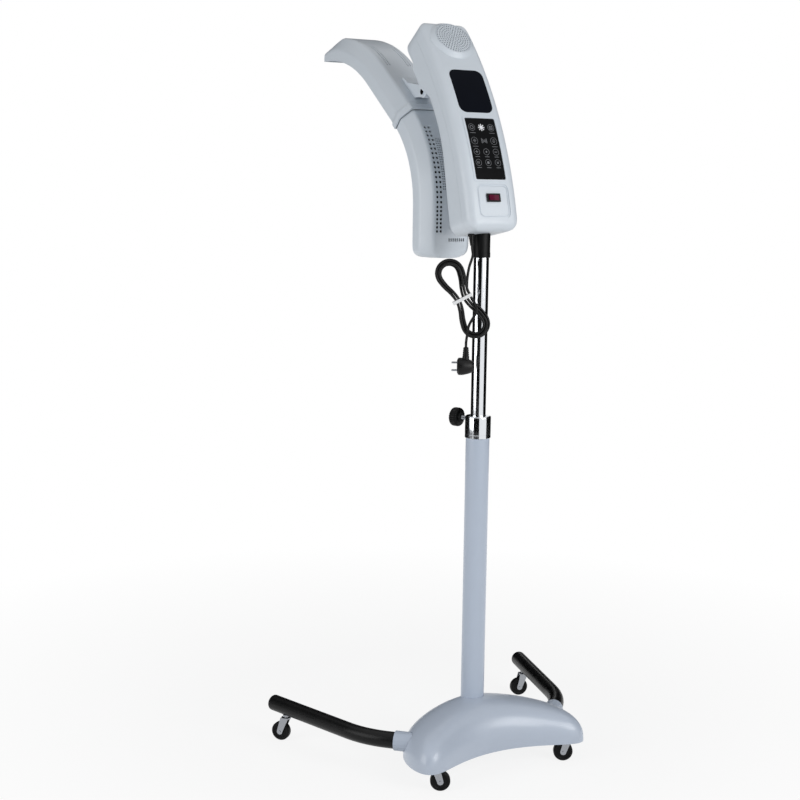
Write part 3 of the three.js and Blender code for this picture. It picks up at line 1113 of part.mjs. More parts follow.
const cordBore = bar(reliefTop.clone().addScaledVector(upward, -6), reliefTop.clone().addScaledVector(upward,
  OVERCUT), CORD_RADIUS + GAP, 12);
piece("plug_body", cut(plugBody, ...pinBores, cordBore), BLACK_PLASTIC);
pinUps.forEach((up, i) => piece(`plug_pin_${i + 1}`, bar(plugSpot(PLUG_LENGTH / 2 - 8 + GAP, up, 0),
  plugSpot(PLUG_LENGTH / 2 + PLUG_PIN_LENGTH, up, 0), PLUG_PIN_RADIUS, 8), CHROME));

// Lead from the gland to the hank, and tail from the hank to the plug
const leadStart = glandAt(GLAND_TAPER - 6 + GAP);
const leadPoints = [leadStart, glandAt(GLAND_TAPER + 8), glandAt(GLAND_TAPER + 24).addScaledVector(toward, 3),
  vec(-53, -27, 1274), hankPoint(-38, 33, -LAYER_HEIGHT - 1), hankPoint(-24, 25, -LAYER_HEIGHT),
  hankPoint(-HANK_TAIL_END - CORD_DIAMETER, HANK_END_ACROSS + 0.3, -LAYER_HEIGHT),
  hankPoint(-HANK_TAIL_END - GAP, HANK_END_ACROSS, -LAYER_HEIGHT)];
piece("cord_lead", tubeAlong(new THREE.CatmullRomCurve3(leadPoints), CORD_RADIUS, 8, 16), BLACK_PLASTIC);
const tailPoints = [hankPoint(HANK_TAIL_END + GAP, HANK_END_ACROSS, LAYER_HEIGHT),
  hankPoint(HANK_TAIL_END + CORD_DIAMETER, HANK_END_ACROSS + 0.3, LAYER_HEIGHT + 0.3),
  hankPoint(27, 22.6, LAYER_HEIGHT + 4.5), hankPoint(40, 19, LAYER_HEIGHT + 9.5),
  plugSpot(-8, PLUG_RADIUS + 80, 5.5), plugSpot(-4, PLUG_RADIUS + 56, 5), plugSpot(-2, PLUG_RADIUS + 38, 1),
  reliefTop.clone().addScaledVector(upward, -6 + GAP)];
piece("cord_tail", tubeAlong(new THREE.CatmullRomCurve3(tailPoints), CORD_RADIUS, 8, 16), BLACK_PLASTIC);

// The origin lies on the floor under the middle of the object, its cord left out
const cordNames = ["cord_lead", "cord_hank", "cord_tie", "cord_tail", "plug_body", "plug_pin_1",
  "plug_pin_2"];
processor.updateMatrixWorld(true);
const bounds = new THREE.Box3();
processor.traverse((node) => node.isMesh && !cordNames.includes(node.name) && bounds.expandByObject(node,
  true));
const middleY = (bounds.min.y + bounds.max.y) / 2;
processor.position.y = -middleY;
const shown = (point) => point.toArray().map((value) => value.toFixed(3));
console.log(`column axis at y ${(-middleY).toFixed(3)}`);
console.log(`box ${shown(bounds.min)} to ${shown(bounds.max)}, hinge at ${shown(hingeCentre)}`);

export default processor;
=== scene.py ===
# Hair color processor: a heating hood and a control console on a height-adjustable wheeled stand.
import math
import bmesh
import bpy
import numpy as np
from mathutils import Matrix, Vector


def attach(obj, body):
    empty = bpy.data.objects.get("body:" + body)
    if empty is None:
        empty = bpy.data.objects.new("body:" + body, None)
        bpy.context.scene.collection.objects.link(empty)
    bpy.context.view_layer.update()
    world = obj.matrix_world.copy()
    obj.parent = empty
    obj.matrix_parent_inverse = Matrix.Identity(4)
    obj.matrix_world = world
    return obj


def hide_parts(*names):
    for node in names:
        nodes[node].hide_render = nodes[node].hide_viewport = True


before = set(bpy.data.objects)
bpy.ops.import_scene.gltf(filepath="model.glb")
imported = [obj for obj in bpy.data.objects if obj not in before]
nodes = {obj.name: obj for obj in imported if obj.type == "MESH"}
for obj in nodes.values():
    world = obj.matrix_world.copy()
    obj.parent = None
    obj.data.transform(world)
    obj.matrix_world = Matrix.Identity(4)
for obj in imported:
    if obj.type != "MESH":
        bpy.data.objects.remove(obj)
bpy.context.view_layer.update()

# Camera: stands a little left of the console's face, at chest height, and looks slightly down.
# Lengths below are millimetres from the column's foot, which lies 271.698 mm to -Y of the frame's origin.
COLUMN_Y = -0.271698


def at(x, y, z):
    return Vector((x / 1000, y / 1000 + COLUMN_Y, z / 1000))


camera = bpy.data.objects.new("camera", bpy.data.cameras.new("camera"))
bpy.context.scene.collection.objects.link(camera)
camera.data.sensor_width = 36.0
camera.data.lens = 65.444
camera.data.clip_end = 50.0
yaw, pitch, roll = math.radians(29.99), math.radians(8.33), math.radians(0.76)
right = Vector((math.cos(yaw), -math.sin(yaw), 0))
level = Vector((math.sin(yaw), math.cos(yaw), 0))
forward = level * math.cos(pitch) - Vector((0, 0, math.sin(pitch)))
upward = level * math.sin(pitch) + Vector((0, 0, math.cos(pitch)))
camera_right = right * math.cos(roll) + upward * math.sin(roll)
camera_up = upward * math.cos(roll) - right * math.sin(roll)
stand_at = -3634.5 * level - 198.0 * right
placing = Matrix((camera_right, camera_up, -forward)).transposed().to_4x4()
placing.translation = at(stand_at.x, stand_at.y, 1467.0)
camera.matrix_world = placing
bpy.context.scene.camera = camera


# Base shell: a moulded crescent, highest where the column comes out and drawn down over the front castors.
# Holes let the column and the two leg sockets through.


def grain_group():
    group = bpy.data.node_groups.new("fine_grain", "ShaderNodeTree")
    for label, kind, start in (("Color", "NodeSocketColor", None), ("Vary", "NodeSocketFloat", 0.03),
                               ("Roughness", "NodeSocketFloat", 0.4), ("Rough Vary", "NodeSocketFloat", 0.05),
                               ("Grain", "NodeSocketFloat", 1500.0), ("Mottle", "NodeSocketFloat", 20.0),
                               ("Bump", "NodeSocketFloat", 0.05)):
        socket = group.interface.new_socket(label, in_out="INPUT", socket_type=kind)
        if start is not None:
            socket.default_value = start
    for label, kind in (("Color", "NodeSocketColor"), ("Roughness", "NodeSocketFloat"), ("Normal", "NodeSocketVector")):
        group.interface.new_socket(label, in_out="OUTPUT", socket_type=kind)
    made, links = group.nodes, group.links
    given, result = made.new("NodeGroupInput"), made.new("NodeGroupOutput")
    place = made.new("ShaderNodeTexCoord")
    wide, fine = made.new("ShaderNodeTexNoise"), made.new("ShaderNodeTexNoise")
    wide.inputs["Detail"].default_value = 4.0
    fine.inputs["Detail"].default_value = 3.0
    for noise, label in ((wide, "Mottle"), (fine, "Grain")):
        links.new(place.outputs["Object"], noise.inputs["Vector"])
        links.new(given.outputs[label], noise.inputs["Scale"])

    def spread(noise, amount, middle):
        # middle + amount * (2 * noise - 1)
        swing = made.new("ShaderNodeMath")
        swing.operation = "MULTIPLY_ADD"
        links.new(noise.outputs["Fac"], swing.inputs[0])
        swing.inputs[1].default_value = 2.0
        swing.inputs[2].default_value = -1.0
        sized = made.new("ShaderNodeMath")
        sized.operation = "MULTIPLY_ADD"
        links.new(swing.outputs[0], sized.inputs[0])
        links.new(given.outputs[amount], sized.inputs[1])
        if isinstance(middle, str):
            links.new(given.outputs[middle], sized.inputs[2])
        else:
            sized.inputs[2].default_value = middle
        return sized.outputs[0]

    tint = made.new("ShaderNodeVectorMath")
    tint.operation = "SCALE"
    links.new(given.outputs["Color"], tint.inputs[0])
    links.new(spread(wide, "Vary", 1.0), tint.inputs["Scale"])
    links.new(tint.outputs[0], result.inputs["Color"])
    links.new(spread(wide, "Rough Vary", "Roughness"), result.inputs["Roughness"])
    bump = made.new("ShaderNodeBump")
    bump.inputs["Distance"].default_value = 0.0004
    links.new(given.outputs["Bump"], bump.inputs["Strength"])
    links.new(fine.outputs["Fac"], bump.inputs["Height"])
    links.new(bump.outputs["Normal"], result.inputs["Normal"])
    return group


fine_grain = grain_group()


def surface(name, color, rough, metal=0.0, vary=0.03, rough_vary=0.06, grain=0.8, mottle=45, bump=0.06, coat=0.0, gloss=0.5):
    # Colour as seen, 0 to 255; grain and mottle are the sizes in millimetres of the fine and the wide unevenness
    linear = [((c / 255 + 0.055) / 1.055) ** 2.4 if c > 10 else c / 3294.6 for c in color]
    made = bpy.data.materials.new(name)
    made.use_nodes = True
    tree = made.node_tree
    shader = tree.nodes["Principled BSDF"]
    shader.inputs["Metallic"].default_value = metal
    shader.inputs["Coat Weight"].default_value = coat
    shader.inputs["Coat Roughness"].default_value = 0.12
    shader.inputs["Specular IOR Level"].default_value = gloss
    texture = tree.nodes.new("ShaderNodeGroup")
    texture.node_tree = fine_grain
    for label, value in (("Color", (*linear, 1.0)), ("Vary", vary), ("Roughness", rough), ("Rough Vary", rough_vary),
                         ("Grain", 1000 / grain), ("Mottle", 1000 / mottle), ("Bump", bump)):
        texture.inputs[label].default_value = value
    tree.links.new(texture.outputs["Color"], shader.inputs["Base Color"])
    tree.links.new(texture.outputs["Roughness"], shader.inputs["Roughness"])
    tree.links.new(texture.outputs["Normal"], shader.inputs["Normal"])
    return made


def shaped(name, points, faces):
    data = bpy.data.meshes.new(name)
    data.from_pydata([at(*p) for p in points], [], faces)
    work = bmesh.new()
    work.from_mesh(data)
    bmesh.ops.remove_doubles(work, verts=work.verts, dist=1e-6)
    bmesh.ops.recalc_face_normals(work, faces=work.faces)
    work.to_mesh(data)
    work.free()
    made = bpy.data.objects.new(name, data)
    bpy.context.scene.collection.objects.link(made)
    return made


def skinned(name, rows, ends=True):
    # Closed skin over a row of closed outlines that all have the same number of points
    count = len(rows[0])
    points = [p for row in rows for p in row]
    faces = []
    for r in range(len(rows) - 1):
        for i in range(count):
            j = (i + 1) % count
            faces.append((r * count + i, r * count + j, (r + 1) * count + j, (r + 1) * count + i))
    if ends:
        faces.append(tuple(reversed(range(count))))
        faces.append(tuple(range((len(rows) - 1) * count, len(rows) * count)))
    return shaped(name, points, faces)


def turned(name, profile, foot, axis, sides=64):
    # Turned piece: pairs of radius and height along the axis, from the foot
    axis = Vector(axis).normalized()
    side = axis.orthogonal().normalized()
    other = axis.cross(side)
    rows = []
    for k in range(sides):
        angle = 2 * math.pi * k / sides
        spoke = side * math.cos(angle) + other * math.sin(angle)
        rows.append([Vector(foot) + spoke * r + axis * h for r, h in profile])
    count = len(profile)
    faces = []
    for k in range(sides):
        n = (k + 1) % sides
        for i in range(count - 1):
            faces.append((k * count + i, k * count + i + 1, n * count + i + 1, n * count + i))
    return shaped(name, [p for row in rows for p in row], faces)


def carve(target, *tools, way="DIFFERENCE"):
    for tool in tools:
        step = target.modifiers.new("carve", "BOOLEAN")
        step.operation = way
        step.solver = "EXACT"
        step.object = tool
    bpy.context.view_layer.update()
    evaluated = target.evaluated_get(bpy.context.evaluated_depsgraph_get())
    result = bpy.data.meshes.new_from_object(evaluated)
    target.modifiers.clear()
    target.data = result
    for tool in tools:
        bpy.data.objects.remove(tool)
    return target


def dressed(piece, material, body, *stands_for, slot=None, sharp=32):
    piece.data.materials.clear()
    piece.data.materials.append(material)
    if piece.type == "MESH":
        piece.data.shade_smooth()
        piece.data.set_sharp_from_angle(angle=math.radians(sharp))
    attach(piece, body)
    if stands_for:
        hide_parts(*stands_for)
    return piece


def kept(material, *names, bevel=0.0, sharp=32):
    # CAD nodes that stay as they are, with a finish, smooth shading and softened edges
    for name in names:
        node = nodes[name]
        node.data.materials.clear()
        node.data.materials.append(material)
        node.data.shade_smooth()
        node.data.set_sharp_from_angle(angle=math.radians(sharp))
        if bevel:
            soft = node.modifiers.new("soft_edges", "BEVEL")
            soft.width = bevel / 1000
            soft.segments = 2
            soft.limit_method = "ANGLE"
            soft.angle_limit = math.radians(40)
            soft.harden_normals = True


def crescent(name, inset, foot):
    half_length = 250 - inset
    rows = []
    for angle in np.linspace(-88, 88, 61):
        share = math.sin(math.radians(angle)) / math.sin(math.radians(88.4))
        reach = abs(share)
        ending = math.sqrt(1 - reach ** 8)
        half_width = (98 - inset - 4 * reach ** 2) * ending
        height = (164 - inset - 53) * (1 - 0.45 * reach ** 1.6) * (1 - reach ** 14) ** 0.5
        middle = -27 - 95 * reach ** 2
        row = []
        for turn in np.linspace(-1, 1, 35):
            across = math.sin(turn * math.pi / 2)
            z = 53 + height * (1 - abs(across) ** 2.6) ** (1 / 2.6)
            row.append((share * half_length, middle + across * half_width, z))
        row += [(share * half_length, middle + half_width, foot), (share * half_length, middle - half_width, foot)]
        rows.append(row)
    return skinned(name, rows)


def leg_line(side):
    start, corner, end = (Vector((side * x, y, 92)) for x, y in ((205, -66), (300, 30), (396, 360)))
    inward, outward = (start - corner).normalized(), (end - corner).normalized()
    bend_in, bend_out = corner + inward * 62, corner + outward * 62
    line = [start.lerp(bend_in, t) for t in (0, 0.5)]
    for t in np.linspace(0, 1, 25):
        line.append(bend_in * (1 - t) ** 2 + corner * 2 * t * (1 - t) + bend_out * t * t)
    return line + [bend_out.lerp(end, t) for t in (0.3, 0.6, 1)], inward, outward


def rod(name, start, end, radius, sides=48, end_radius=None):
    along = Vector(end) - Vector(start)
    far = radius if end_radius is None else end_radius
    return turned(name, [(0, 0), (radius, 0), (far, along.length), (0, along.length)], start, along, sides)


base_paint = surface("pale_grey_moulding", (186, 196, 211), 0.36, vary=0.02, grain=0.9, bump=0.05, coat=0.25)
shell = carve(crescent("base_shell_skin", 0, 52), crescent("base_hollow", 3, 48))
sockets = []
for side in (-1, 1):
    line, inward, outward = leg_line(side)
    sockets.append(rod("socket_way", line[0] + inward * 8, line[0] - inward * 56, 25.1))
carve(shell, rod("column_way", (0, 0, 50), (0, 0, 175), 30.4), *sockets)
dressed(shell, base_paint, "stand", "base_shell", slot="base_plastic")

# Base frame: the steel plate under the shell, with the column's hub and the sockets that the legs plug into.
# Only the sockets' mouths and the underside show.
frame_paint = surface("pale_powder_coat", (178, 188, 203), 0.42, vary=0.025, grain=0.5, bump=0.1)
kept(frame_paint, "base_frame", bevel=0.6)

# Legs: two bent steel tubes in satin black, with pressed plastic end caps.
# Each is drilled underneath for the stud of its castor.
leg_paint = surface("satin_black_coat", (12, 12, 13), 0.34, vary=0.1, grain=0.5, bump=0.08, gloss=0.2)
cap_plastic = surface("black_moulding", (10, 11, 12), 0.42, vary=0.1, grain=0.5, bump=0.08, gloss=0.15)


def swept(name, line, radius, sides=32, bore=0.0, normal=Vector((0, 0, 1))):
    # Round bar along a line, or a tube with a bore
    rows, inner = [], []
    for i, point in enumerate(line):
        along = (line[min(i + 1, len(line) - 1)] - line[max(i - 1, 0)]).normalized()
        normal = (normal - along * normal.dot(along)).normalized()
        cross = along.cross(normal)
        spokes = [normal * math.cos(2 * math.pi * k / sides) + cross * math.sin(2 * math.pi * k / sides) for k in range(sides)]
        rows.append([point + s * radius for s in spokes])
        inner.append([point + s * bore for s in spokes])
    if bore:
        rows = rows + inner[::-1] + rows[:1]
    return skinned(name, rows, ends=not bore)


for name, side in (("left", -1), ("right", 1)):
    line, inward, outward = leg_line(side)
    stud = line[-1] - outward * 45
    tube = carve(swept("leg_tube_" + name, line, 21, bore=19), rod("stud_way", stud - Vector((0, 0, 30)), stud, 5.6))
    dressed(tube, leg_paint, "stand", "leg_" + name, slot="black_paint")
    dome = [(0, -14), (17.5, -14), (18, -13), (18, 0.3), (20.9, 0.3)]
    dome += [(16 + 4.9 * math.cos(a), 2.2 + 4.8 * math.sin(a)) for a in np.linspace(0, math.pi / 2, 9)]
    cap = turned("leg_end_cap_" + name, dome + [(0, 7.2)], line[-1], outward, 48)
    dressed(cap, cap_plastic, "stand", "leg_cap_" + name, slot="black_plastic")

# Castors: a plated stem under each corner, a swivelling fork and a black wheel that rolls in it.
# The wheels have rounded shoulders and a sunk web between hub and tyre.
zinc = surface("zinc_plate", (158, 161, 166), 0.26, metal=1.0, vary=0.06, rough_vary=0.1, grain=0.5, mottle=9, bump=0.05)
wheel_black = surface("wheel_black", (10, 10, 11), 0.46, vary=0.14, rough_vary=0.1, grain=0.4, mottle=7, bump=0.1, gloss=0.15)
rear_leg, _, rear_out = leg_line(1)
rear = rear_leg[-1] - rear_out * 45
corners = {"front_left": (-203, -150, 330), "front_right": (203, -150, 150),
           "rear_left": (-rear.x, rear.y, 130), "rear_right": (rear.x, rear.y, 165)}
for name, (x, y, heading) in corners.items():
    ahead = Vector((math.cos(math.radians(heading)), math.sin(math.radians(heading)), 0))
    axle = Vector((-ahead.y, ahead.x, 0))
    half = [(3.3, 9), (8, 9), (8.6, 8.6), (9.4, 7.2), (16.2, 7.2), (17.2, 8.4), (18, 8.9), (20.5, 9)]
    half += [(21 + 4 * math.sin(a), 5 + 4 * math.cos(a)) for a in np.linspace(0.1, math.pi / 2, 8)]
    profile = [(r, -h) for r, h in half] + [(r, h) for r, h in reversed(half)]
    wheel = turned("wheel_" + name, profile + profile[:1], Vector((x, y, 25)) + ahead * 14, axle, 56)
    dressed(wheel, wheel_black, "wheel_" + name, "castor_wheel_" + name, slot="black_plastic")
    kept(zinc, "castor_fork_" + name, "castor_stem_" + name, bevel=0.4)

# Column: the painted tube that stands in the base, held by one bolt from below.
# Its mouth holds a plastic bush that guides the post.
column_paint = surface("column_powder_coat", (184, 195, 211), 0.33, vary=0.02, rough_vary=0.05, grain=0.7, bump=0.07, coat=0.2)
column = turned("column_painted_tube", [(6.4, 75.8), (29.4, 75.8), (30, 76.4), (30, 855.4), (29.4, 856), (28, 856), (28, 82),
                                        (6.4, 82), (6.4, 75.8)], (0, 0, 0), (0, 0, 1), 96)
dressed(column, column_paint, "stand", "column_tube", slot="base_paint")
kept(zinc, "column_bolt", bevel=0.5)
kept(cap_plastic, "guide_bush")

# Collar: a plated cap over the column's mouth, with a threaded hole for the clamp screw.
# The screw bears on the post, and a ribbed black knob turns it.
chrome = surface("polished_plate", (226, 229, 233), 0.1, metal=1.0, vary=0.03, rough_vary=0.04, grain=0.3, mottle=14, bump=0.012)
clamp_way = Vector((math.cos(math.radians(113)), math.sin(math.radians(113)), 0))
crown = [(28.6 + 4 * math.cos(a), 894 + 4 * math.sin(a)) for a in np.linspace(0, math.pi / 2, 9)]
collar = turned("collar_plated", [(30.4, 842), (32, 842), (32.6, 842.6), (32.6, 850), (32.2, 850.5), (32.2, 851.3), (32.6, 851.8), *crown,
                                  (20.4, 898), (19.4, 897), (19.4, 859.2), (30.4, 859.2), (30.4, 842)], (0, 0, 0), (0, 0, 1), 96)
carve(collar, rod("screw_way", (0, 0, 888), clamp_way * 60 + Vector((0, 0, 888)), 5.35, 32))
dressed(collar, chrome, "stand", "column_collar", slot="plated")
thread = [(0, 0), (4.2, 0)]
for k in range(32):
    thread += [(4.9, 0.7 + 1.5 * k), (4.3, 1.4 + 1.5 * k)]
screw = turned("clamp_thread", thread + [(4.3, 49), (0, 49)], clamp_way * 19.3 + Vector((0, 0, 888)), clamp_way, 32)
dressed(screw, zinc, "clamp_screw_body", "clamp_screw", slot="zinc_steel", sharp=60)
knob_side = clamp_way.orthogonal().normalized()
knob_other = clamp_way.cross(knob_side)
knob_rows = []
for h, r in ((48.4, 10.6), (49.1, 11.6), (53.9, 12.4), (54.3, 15), (54.6, 19.5), (55.6, 22), (57.5, 23.5), (60, 24), (70.5, 24),
             (73.5, 23.4), (75.3, 21.8), (76.2, 19), (76.3, 15), (75.6, 13.8), (75.4, 6), (75.4, 0.6)):
    row = []
    for k in range(192):
        angle = 2 * math.pi * k / 192
        groove = 1.3 * max(math.cos(24 * angle), 0) ** 2 if r > 18 else 0
        spoke = knob_side * math.cos(angle) + knob_other * math.sin(angle)
        row.append(spoke * (r - groove) + clamp_way * h + Vector((0, 0, 888)))
    knob_rows.append(row)
knob = carve(skinned("clamp_grip", knob_rows), rod("knob_bore", clamp_way * 30 + Vector((0, 0, 888)),
                                                  clamp_way * 68.7 + Vector((0, 0, 888)), 5.3, 32))
dressed(knob, cap_plastic, "clamp_knob_body", "clamp_knob", slot="black_plastic")

# Post: the plated tube that slides in the column and carries the head.
# A plastic foot bush keeps its lower end centred.
post = turned("post_plated_tube", [(17.5, 470), (18.6, 470), (19, 470.4), (19, 1431.6), (18.6, 1432), (17.5, 1432), (17.5, 470)],
              (0, 0, 0), (0, 0, 1), 96)
dressed(post, chrome, "post", "post_tube", slot="plated")
kept(cap_plastic, "post_foot_bush")

# Sleeve: the black socket under the console, by which the head sits and turns on the post.
sleeve = turned("sleeve_socket", [(19.4, 1296), (21, 1296), (22, 1297), (22, 1308), (21.4, 1308.6), (21.4, 1438.8), (20.4, 1440),
                                  (0, 1440), (0, 1432.4), (19.4, 1432.4), (19.4, 1296)], (0, 0, 0), (0, 0, 1), 72)
dressed(sleeve, cap_plastic, "head", "post_sleeve", slot="black_plastic")

# Console front cover: a moulded face along an arc, with a raised ring for the fan grille,
# a thin frame round the keys and shallow pockets that the panels lie in.
pale_plastic = surface("pale_moulding", (212, 220, 228), 0.4, vary=0.012, rough_vary=0.04, grain=0.7, bump=0.045, coat=0.1)

face_foot = math.radians(10)
gland_face = Vector((-38, -66 + 57 * math.cos(face_foot), 1364 - 57 * math.sin(face_foot)))
gland_down = Vector((0, -math.sin(face_foot), -math.cos(face_foot)))


def face_point(along, x, depth):
    tilt = face_foot + along / 986
    y = -66 + 986 * (math.cos(face_foot) - math.cos(tilt)) + depth * math.cos(tilt)
    z = 1364 + 986 * (math.sin(tilt) - math.sin(face_foot)) - depth * math.sin(tilt)
    return Vector((x, y, z))


def face_out(along):
    tilt = face_foot + along / 986
    return Vector((0, -math.cos(tilt), math.sin(tilt)))


def eased(start, end, low, high, value):
    share = min(max((value - low) / (high - low), 0), 1)
    return start + (end - start) * 0.5 * (1 - math.cos(math.pi * share))


def console_depth(along):
    return eased(116, 92, 60, 330, along) + eased(0, 26, 395, 470, along) - eased(0, 12, 518, 538, along)


def end_inset(near, wall, radius):
    # How far the skin draws in close to an end, round a corner of that radius
    share = min(max((near - wall) / (radius - wall), 0), 1)
    return wall + (radius - wall) * (1 - math.sqrt(1 - (1 - share) ** 2))


def console_solid(name, wall):
    foot = [wall + (38 - wall) * (1 - math.cos(a)) for a in np.radians(np.linspace(8, 90, 12))]
    rows = []
    for along in [*foot, *np.linspace(42, 558, 60), *[600 - s for s in reversed(foot)]]:
        near = min(along, 600 - along)
        narrow, shallow = end_inset(near, wall, 38), end_inset(near, wall, 24)
        half, front, back = 74 - narrow, shallow, console_depth(along) - shallow
        rake = eased(0, 0.18, 545, 600, along)
        row = []
        for x, y, radius, start in ((1, 1, max(30 - narrow, 5), 0), (-1, 1, max(30 - narrow, 5), 90),
                                    (-1, -1, max(23 - narrow, 4), 180), (1, -1, max(23 - narrow, 4), 270)):
            centre_x = x * (half - radius)
            centre_y = back - radius if y > 0 else front + radius
            for a in np.radians(np.linspace(start, start + 90, 9)):
                deep = centre_y + radius * math.sin(a)
                row.append(face_point(along + deep * rake, centre_x + radius * math.cos(a), deep))
        rows.append(row)
    return skinned(name, rows)


def face_strip(name, width, d0, d1, low, high, radius=0.0, steps=14):
    # Slab that follows the face, with rounded corners
    stops = list(np.linspace(low + radius, high - radius, steps))
    if radius:
        bend = [radius * (1 - math.cos(a)) for a in np.radians(np.linspace(4, 90, 8))]
        stops = [low + b for b in bend[:-1]] + stops + [high - b for b in reversed(bend[:-1])]
    rows = []
    for along in stops:
        near = min(along - low, high - along)
        half = width / 2
        if radius and near < radius:
            half -= radius - math.sqrt(max(radius ** 2 - (radius - near) ** 2, 0))
        rows.append([face_point(along, x, d) for x, d in ((-half, d0), (half, d0), (half, d1), (-half, d1))])
    return skinned(name, rows)


front = console_solid("console_face", 0)
cuts = [console_solid("console_hollow", 3.2), face_strip("rear_part", 200, 38, 220, -60, 660, steps=40)]
carve(front, *cuts)
ring_foot = face_point(528, 0, 0)
ring_out = face_out(528)
boss_profile = [(46, -7), (61, -7), (61, -1.2), (58.4, 0.4), (55, 3.6), (52.6, 6.9), (51.2, 8.2), (49.8, 8.7), (49.4, 8.4), (49.4, 6.1), (46, 6.1),
                (46, -7)]
carve(front, rod("grille_way", ring_foot - ring_out * 20, ring_foot + ring_out * 20, 47.5, 64))
carve(front, turned("fan_ring", boss_profile, ring_foot, ring_out, 96), way="UNION")
frame_bar = carve(face_strip("key_frame", 99, -1.3, 1.0, 121.6, 295.6, 7), face_strip("key_frame_hole", 87.4, -4, 4, 127.4, 289.8, 4))
carve(front, frame_bar, way="UNION")


def face_box(name, along, width, height, low, high):
    middle, out = face_point(along, 0, 0), face_out(along)
    up = Vector((0, out.z, -out.y))
    rows = [[middle + Vector((x * width / 2, 0, 0)) + up * (y * height / 2) + out * h for x, y in ((-1, -1), (1, -1), (1, 1), (-1, 1))]
            for h in (low, high)]
    return skinned(name, rows)


carve(front, face_strip("display_pocket", 98.6, -5, 1.8, 305.1, 430.7, 20.3), face_strip("key_pocket", 86.6, -5, 1.8, 127.8, 289.4, 4),
      face_strip("switch_pocket", 92.6, -5, 1.8, 31.7, 116.3, 14.3), face_box("rocker_way", 82, 36.6, 18.6, -15, 15))
dressed(front, pale_plastic, "head", "console_front_cover", slot="white_plastic", sharp=28)

# Console rear cover: the hollowed back of the console, open below for the sleeve and the cord's gland.
back = console_solid("console_back", 0)
carve(back, console_solid("console_hollow", 3.2), face_strip("front_part", 200, -60, 38.4, -60, 660, steps=40),
      rod("sleeve_way", (0, 0, 1290), (0, 0, 1440), 22.4), rod("gland_way", gland_face - gland_down * 30, gland_face + gland_down * 6, 6.6, 32))
dressed(back, pale_plastic, "head", "console_rear_cover", slot="white_plastic", sharp=28)

# Display window: a dark glossy pane with rounded corners.
screen = surface("dark_pane", (9, 13, 22), 0.12, vary=0.12, rough_vary=0.04, grain=0.4, mottle=30, bump=0.003, gloss=0.03)
pane = face_strip("display_pane", 98, -0.4, 1.5, 305.4, 430.4, 20)
dressed(pane, screen, "head", "display_window", slot="screen")

# Key panel: a black film with grey printed rings over its touch keys.
key_film = surface("key_film_black", (9, 10, 12), 0.3, vary=0.14, rough_vary=0.06, grain=0.5, mottle=12, bump=0.01, gloss=0.06)
key_print = surface("key_print_grey", (112, 114, 118), 0.45, vary=0.1, grain=0.4, mottle=6, bump=0.03)
key_white = surface("key_print_white", (238, 240, 243), 0.45, vary=0.04, grain=0.4, mottle=6, bump=0.03)
film = face_strip("key_film_panel", 86, -0.4, 1.5, 128.1, 289.1, 3.7)
dressed(film, key_film, "head", "key_panel", slot="key_film")


def gathered(name, pieces):
    # One object from several
    points, faces = [], []
    for piece in pieces:
        first = len(points)
        points += [Vector(((v.co.x) * 1000, (v.co.y - COLUMN_Y) * 1000, v.co.z * 1000)) for v in piece.data.vertices]
        faces += [tuple(first + i for i in p.vertices) for p in piece.data.polygons]
        bpy.data.objects.remove(piece)
    return shaped(name, points, faces)


def dash(along, x, width, height, turn=0.0):
    # Printed bar on the film, turned about its middle
    corners = []
    for u, v in ((-1, -1), (1, -1), (1, 1), (-1, 1)):
        a, b = u * width / 2, v * height / 2
        corners.append((a * math.cos(turn) - b * math.sin(turn), a * math.sin(turn) + b * math.cos(turn)))
    return skinned("dash", [[face_point(along + b, x + a, d) for a, b in corners] for d in (-0.4, -0.56)])


def key_ring(along, x, radius, width=0.8):
    return turned("ring", [(radius - width, 0.4), (radius, 0.4), (radius, 0.56), (radius - width, 0.56), (radius - width, 0.4)],
                  face_point(along, x, 0), face_out(along), 40)


grey_marks, white_marks = [], []
for along in (199, 171):
    for x in (-28, 0, 28):
        grey_marks += [key_ring(along, x, 8.6), dash(along - 13, x, 13, 1.2)]
grey_marks += [dash(199, -28, 8, 1.5), dash(199, -28, 1.5, 8), dash(199, 0, 4, 4, math.pi / 4), dash(199, 28, 8, 1.5)]
grey_marks += [dash(171, -31, 1.6, 7), dash(171, -27, 1.6, 7), dash(171, 0, 6, 6), dash(171, 28, 8, 1.4, 0.8), dash(171, 28, 8, 1.4, -0.8)]
for x in (-28, 28):
    grey_marks += [key_ring(264, x, 9.5), key_ring(264, x, 5.2, 1.4), key_ring(228, x, 9.5)]
    grey_marks += [dash(264, x, 19, 0.8, 0.785), dash(264, x, 19, 0.8, -0.785)] if x > 0 else []
    grey_marks += [dash(228 + k, x, 9 - abs(k), 1.3) for k in (-3.4, 0, 3.4)]
    grey_marks += [dash(249, x, 16, 1.1), dash(213, x, 16, 1.1)]
grey_marks += [dash(228, k, 1.6, 6 + abs(k)) for k in (-7, -3.5, 0, 3.5, 7)]
white_marks += [turned("sun", [(0, 0.4), (5.2, 0.4), (5.2, 0.6), (0, 0.6)], face_point(264, 0, 0), face_out(264), 32)]
for k in range(8):
    turn = math.pi * k / 4
    white_marks.append(dash(264 + 7.6 * math.sin(turn), 7.6 * math.cos(turn), 3.4, 2.8, turn))
dressed(gathered("key_marks_grey", grey_marks), key_print, "head", slot="key_film")
dressed(gathered("key_marks_white", white_marks), key_white, "head", slot="key_film")

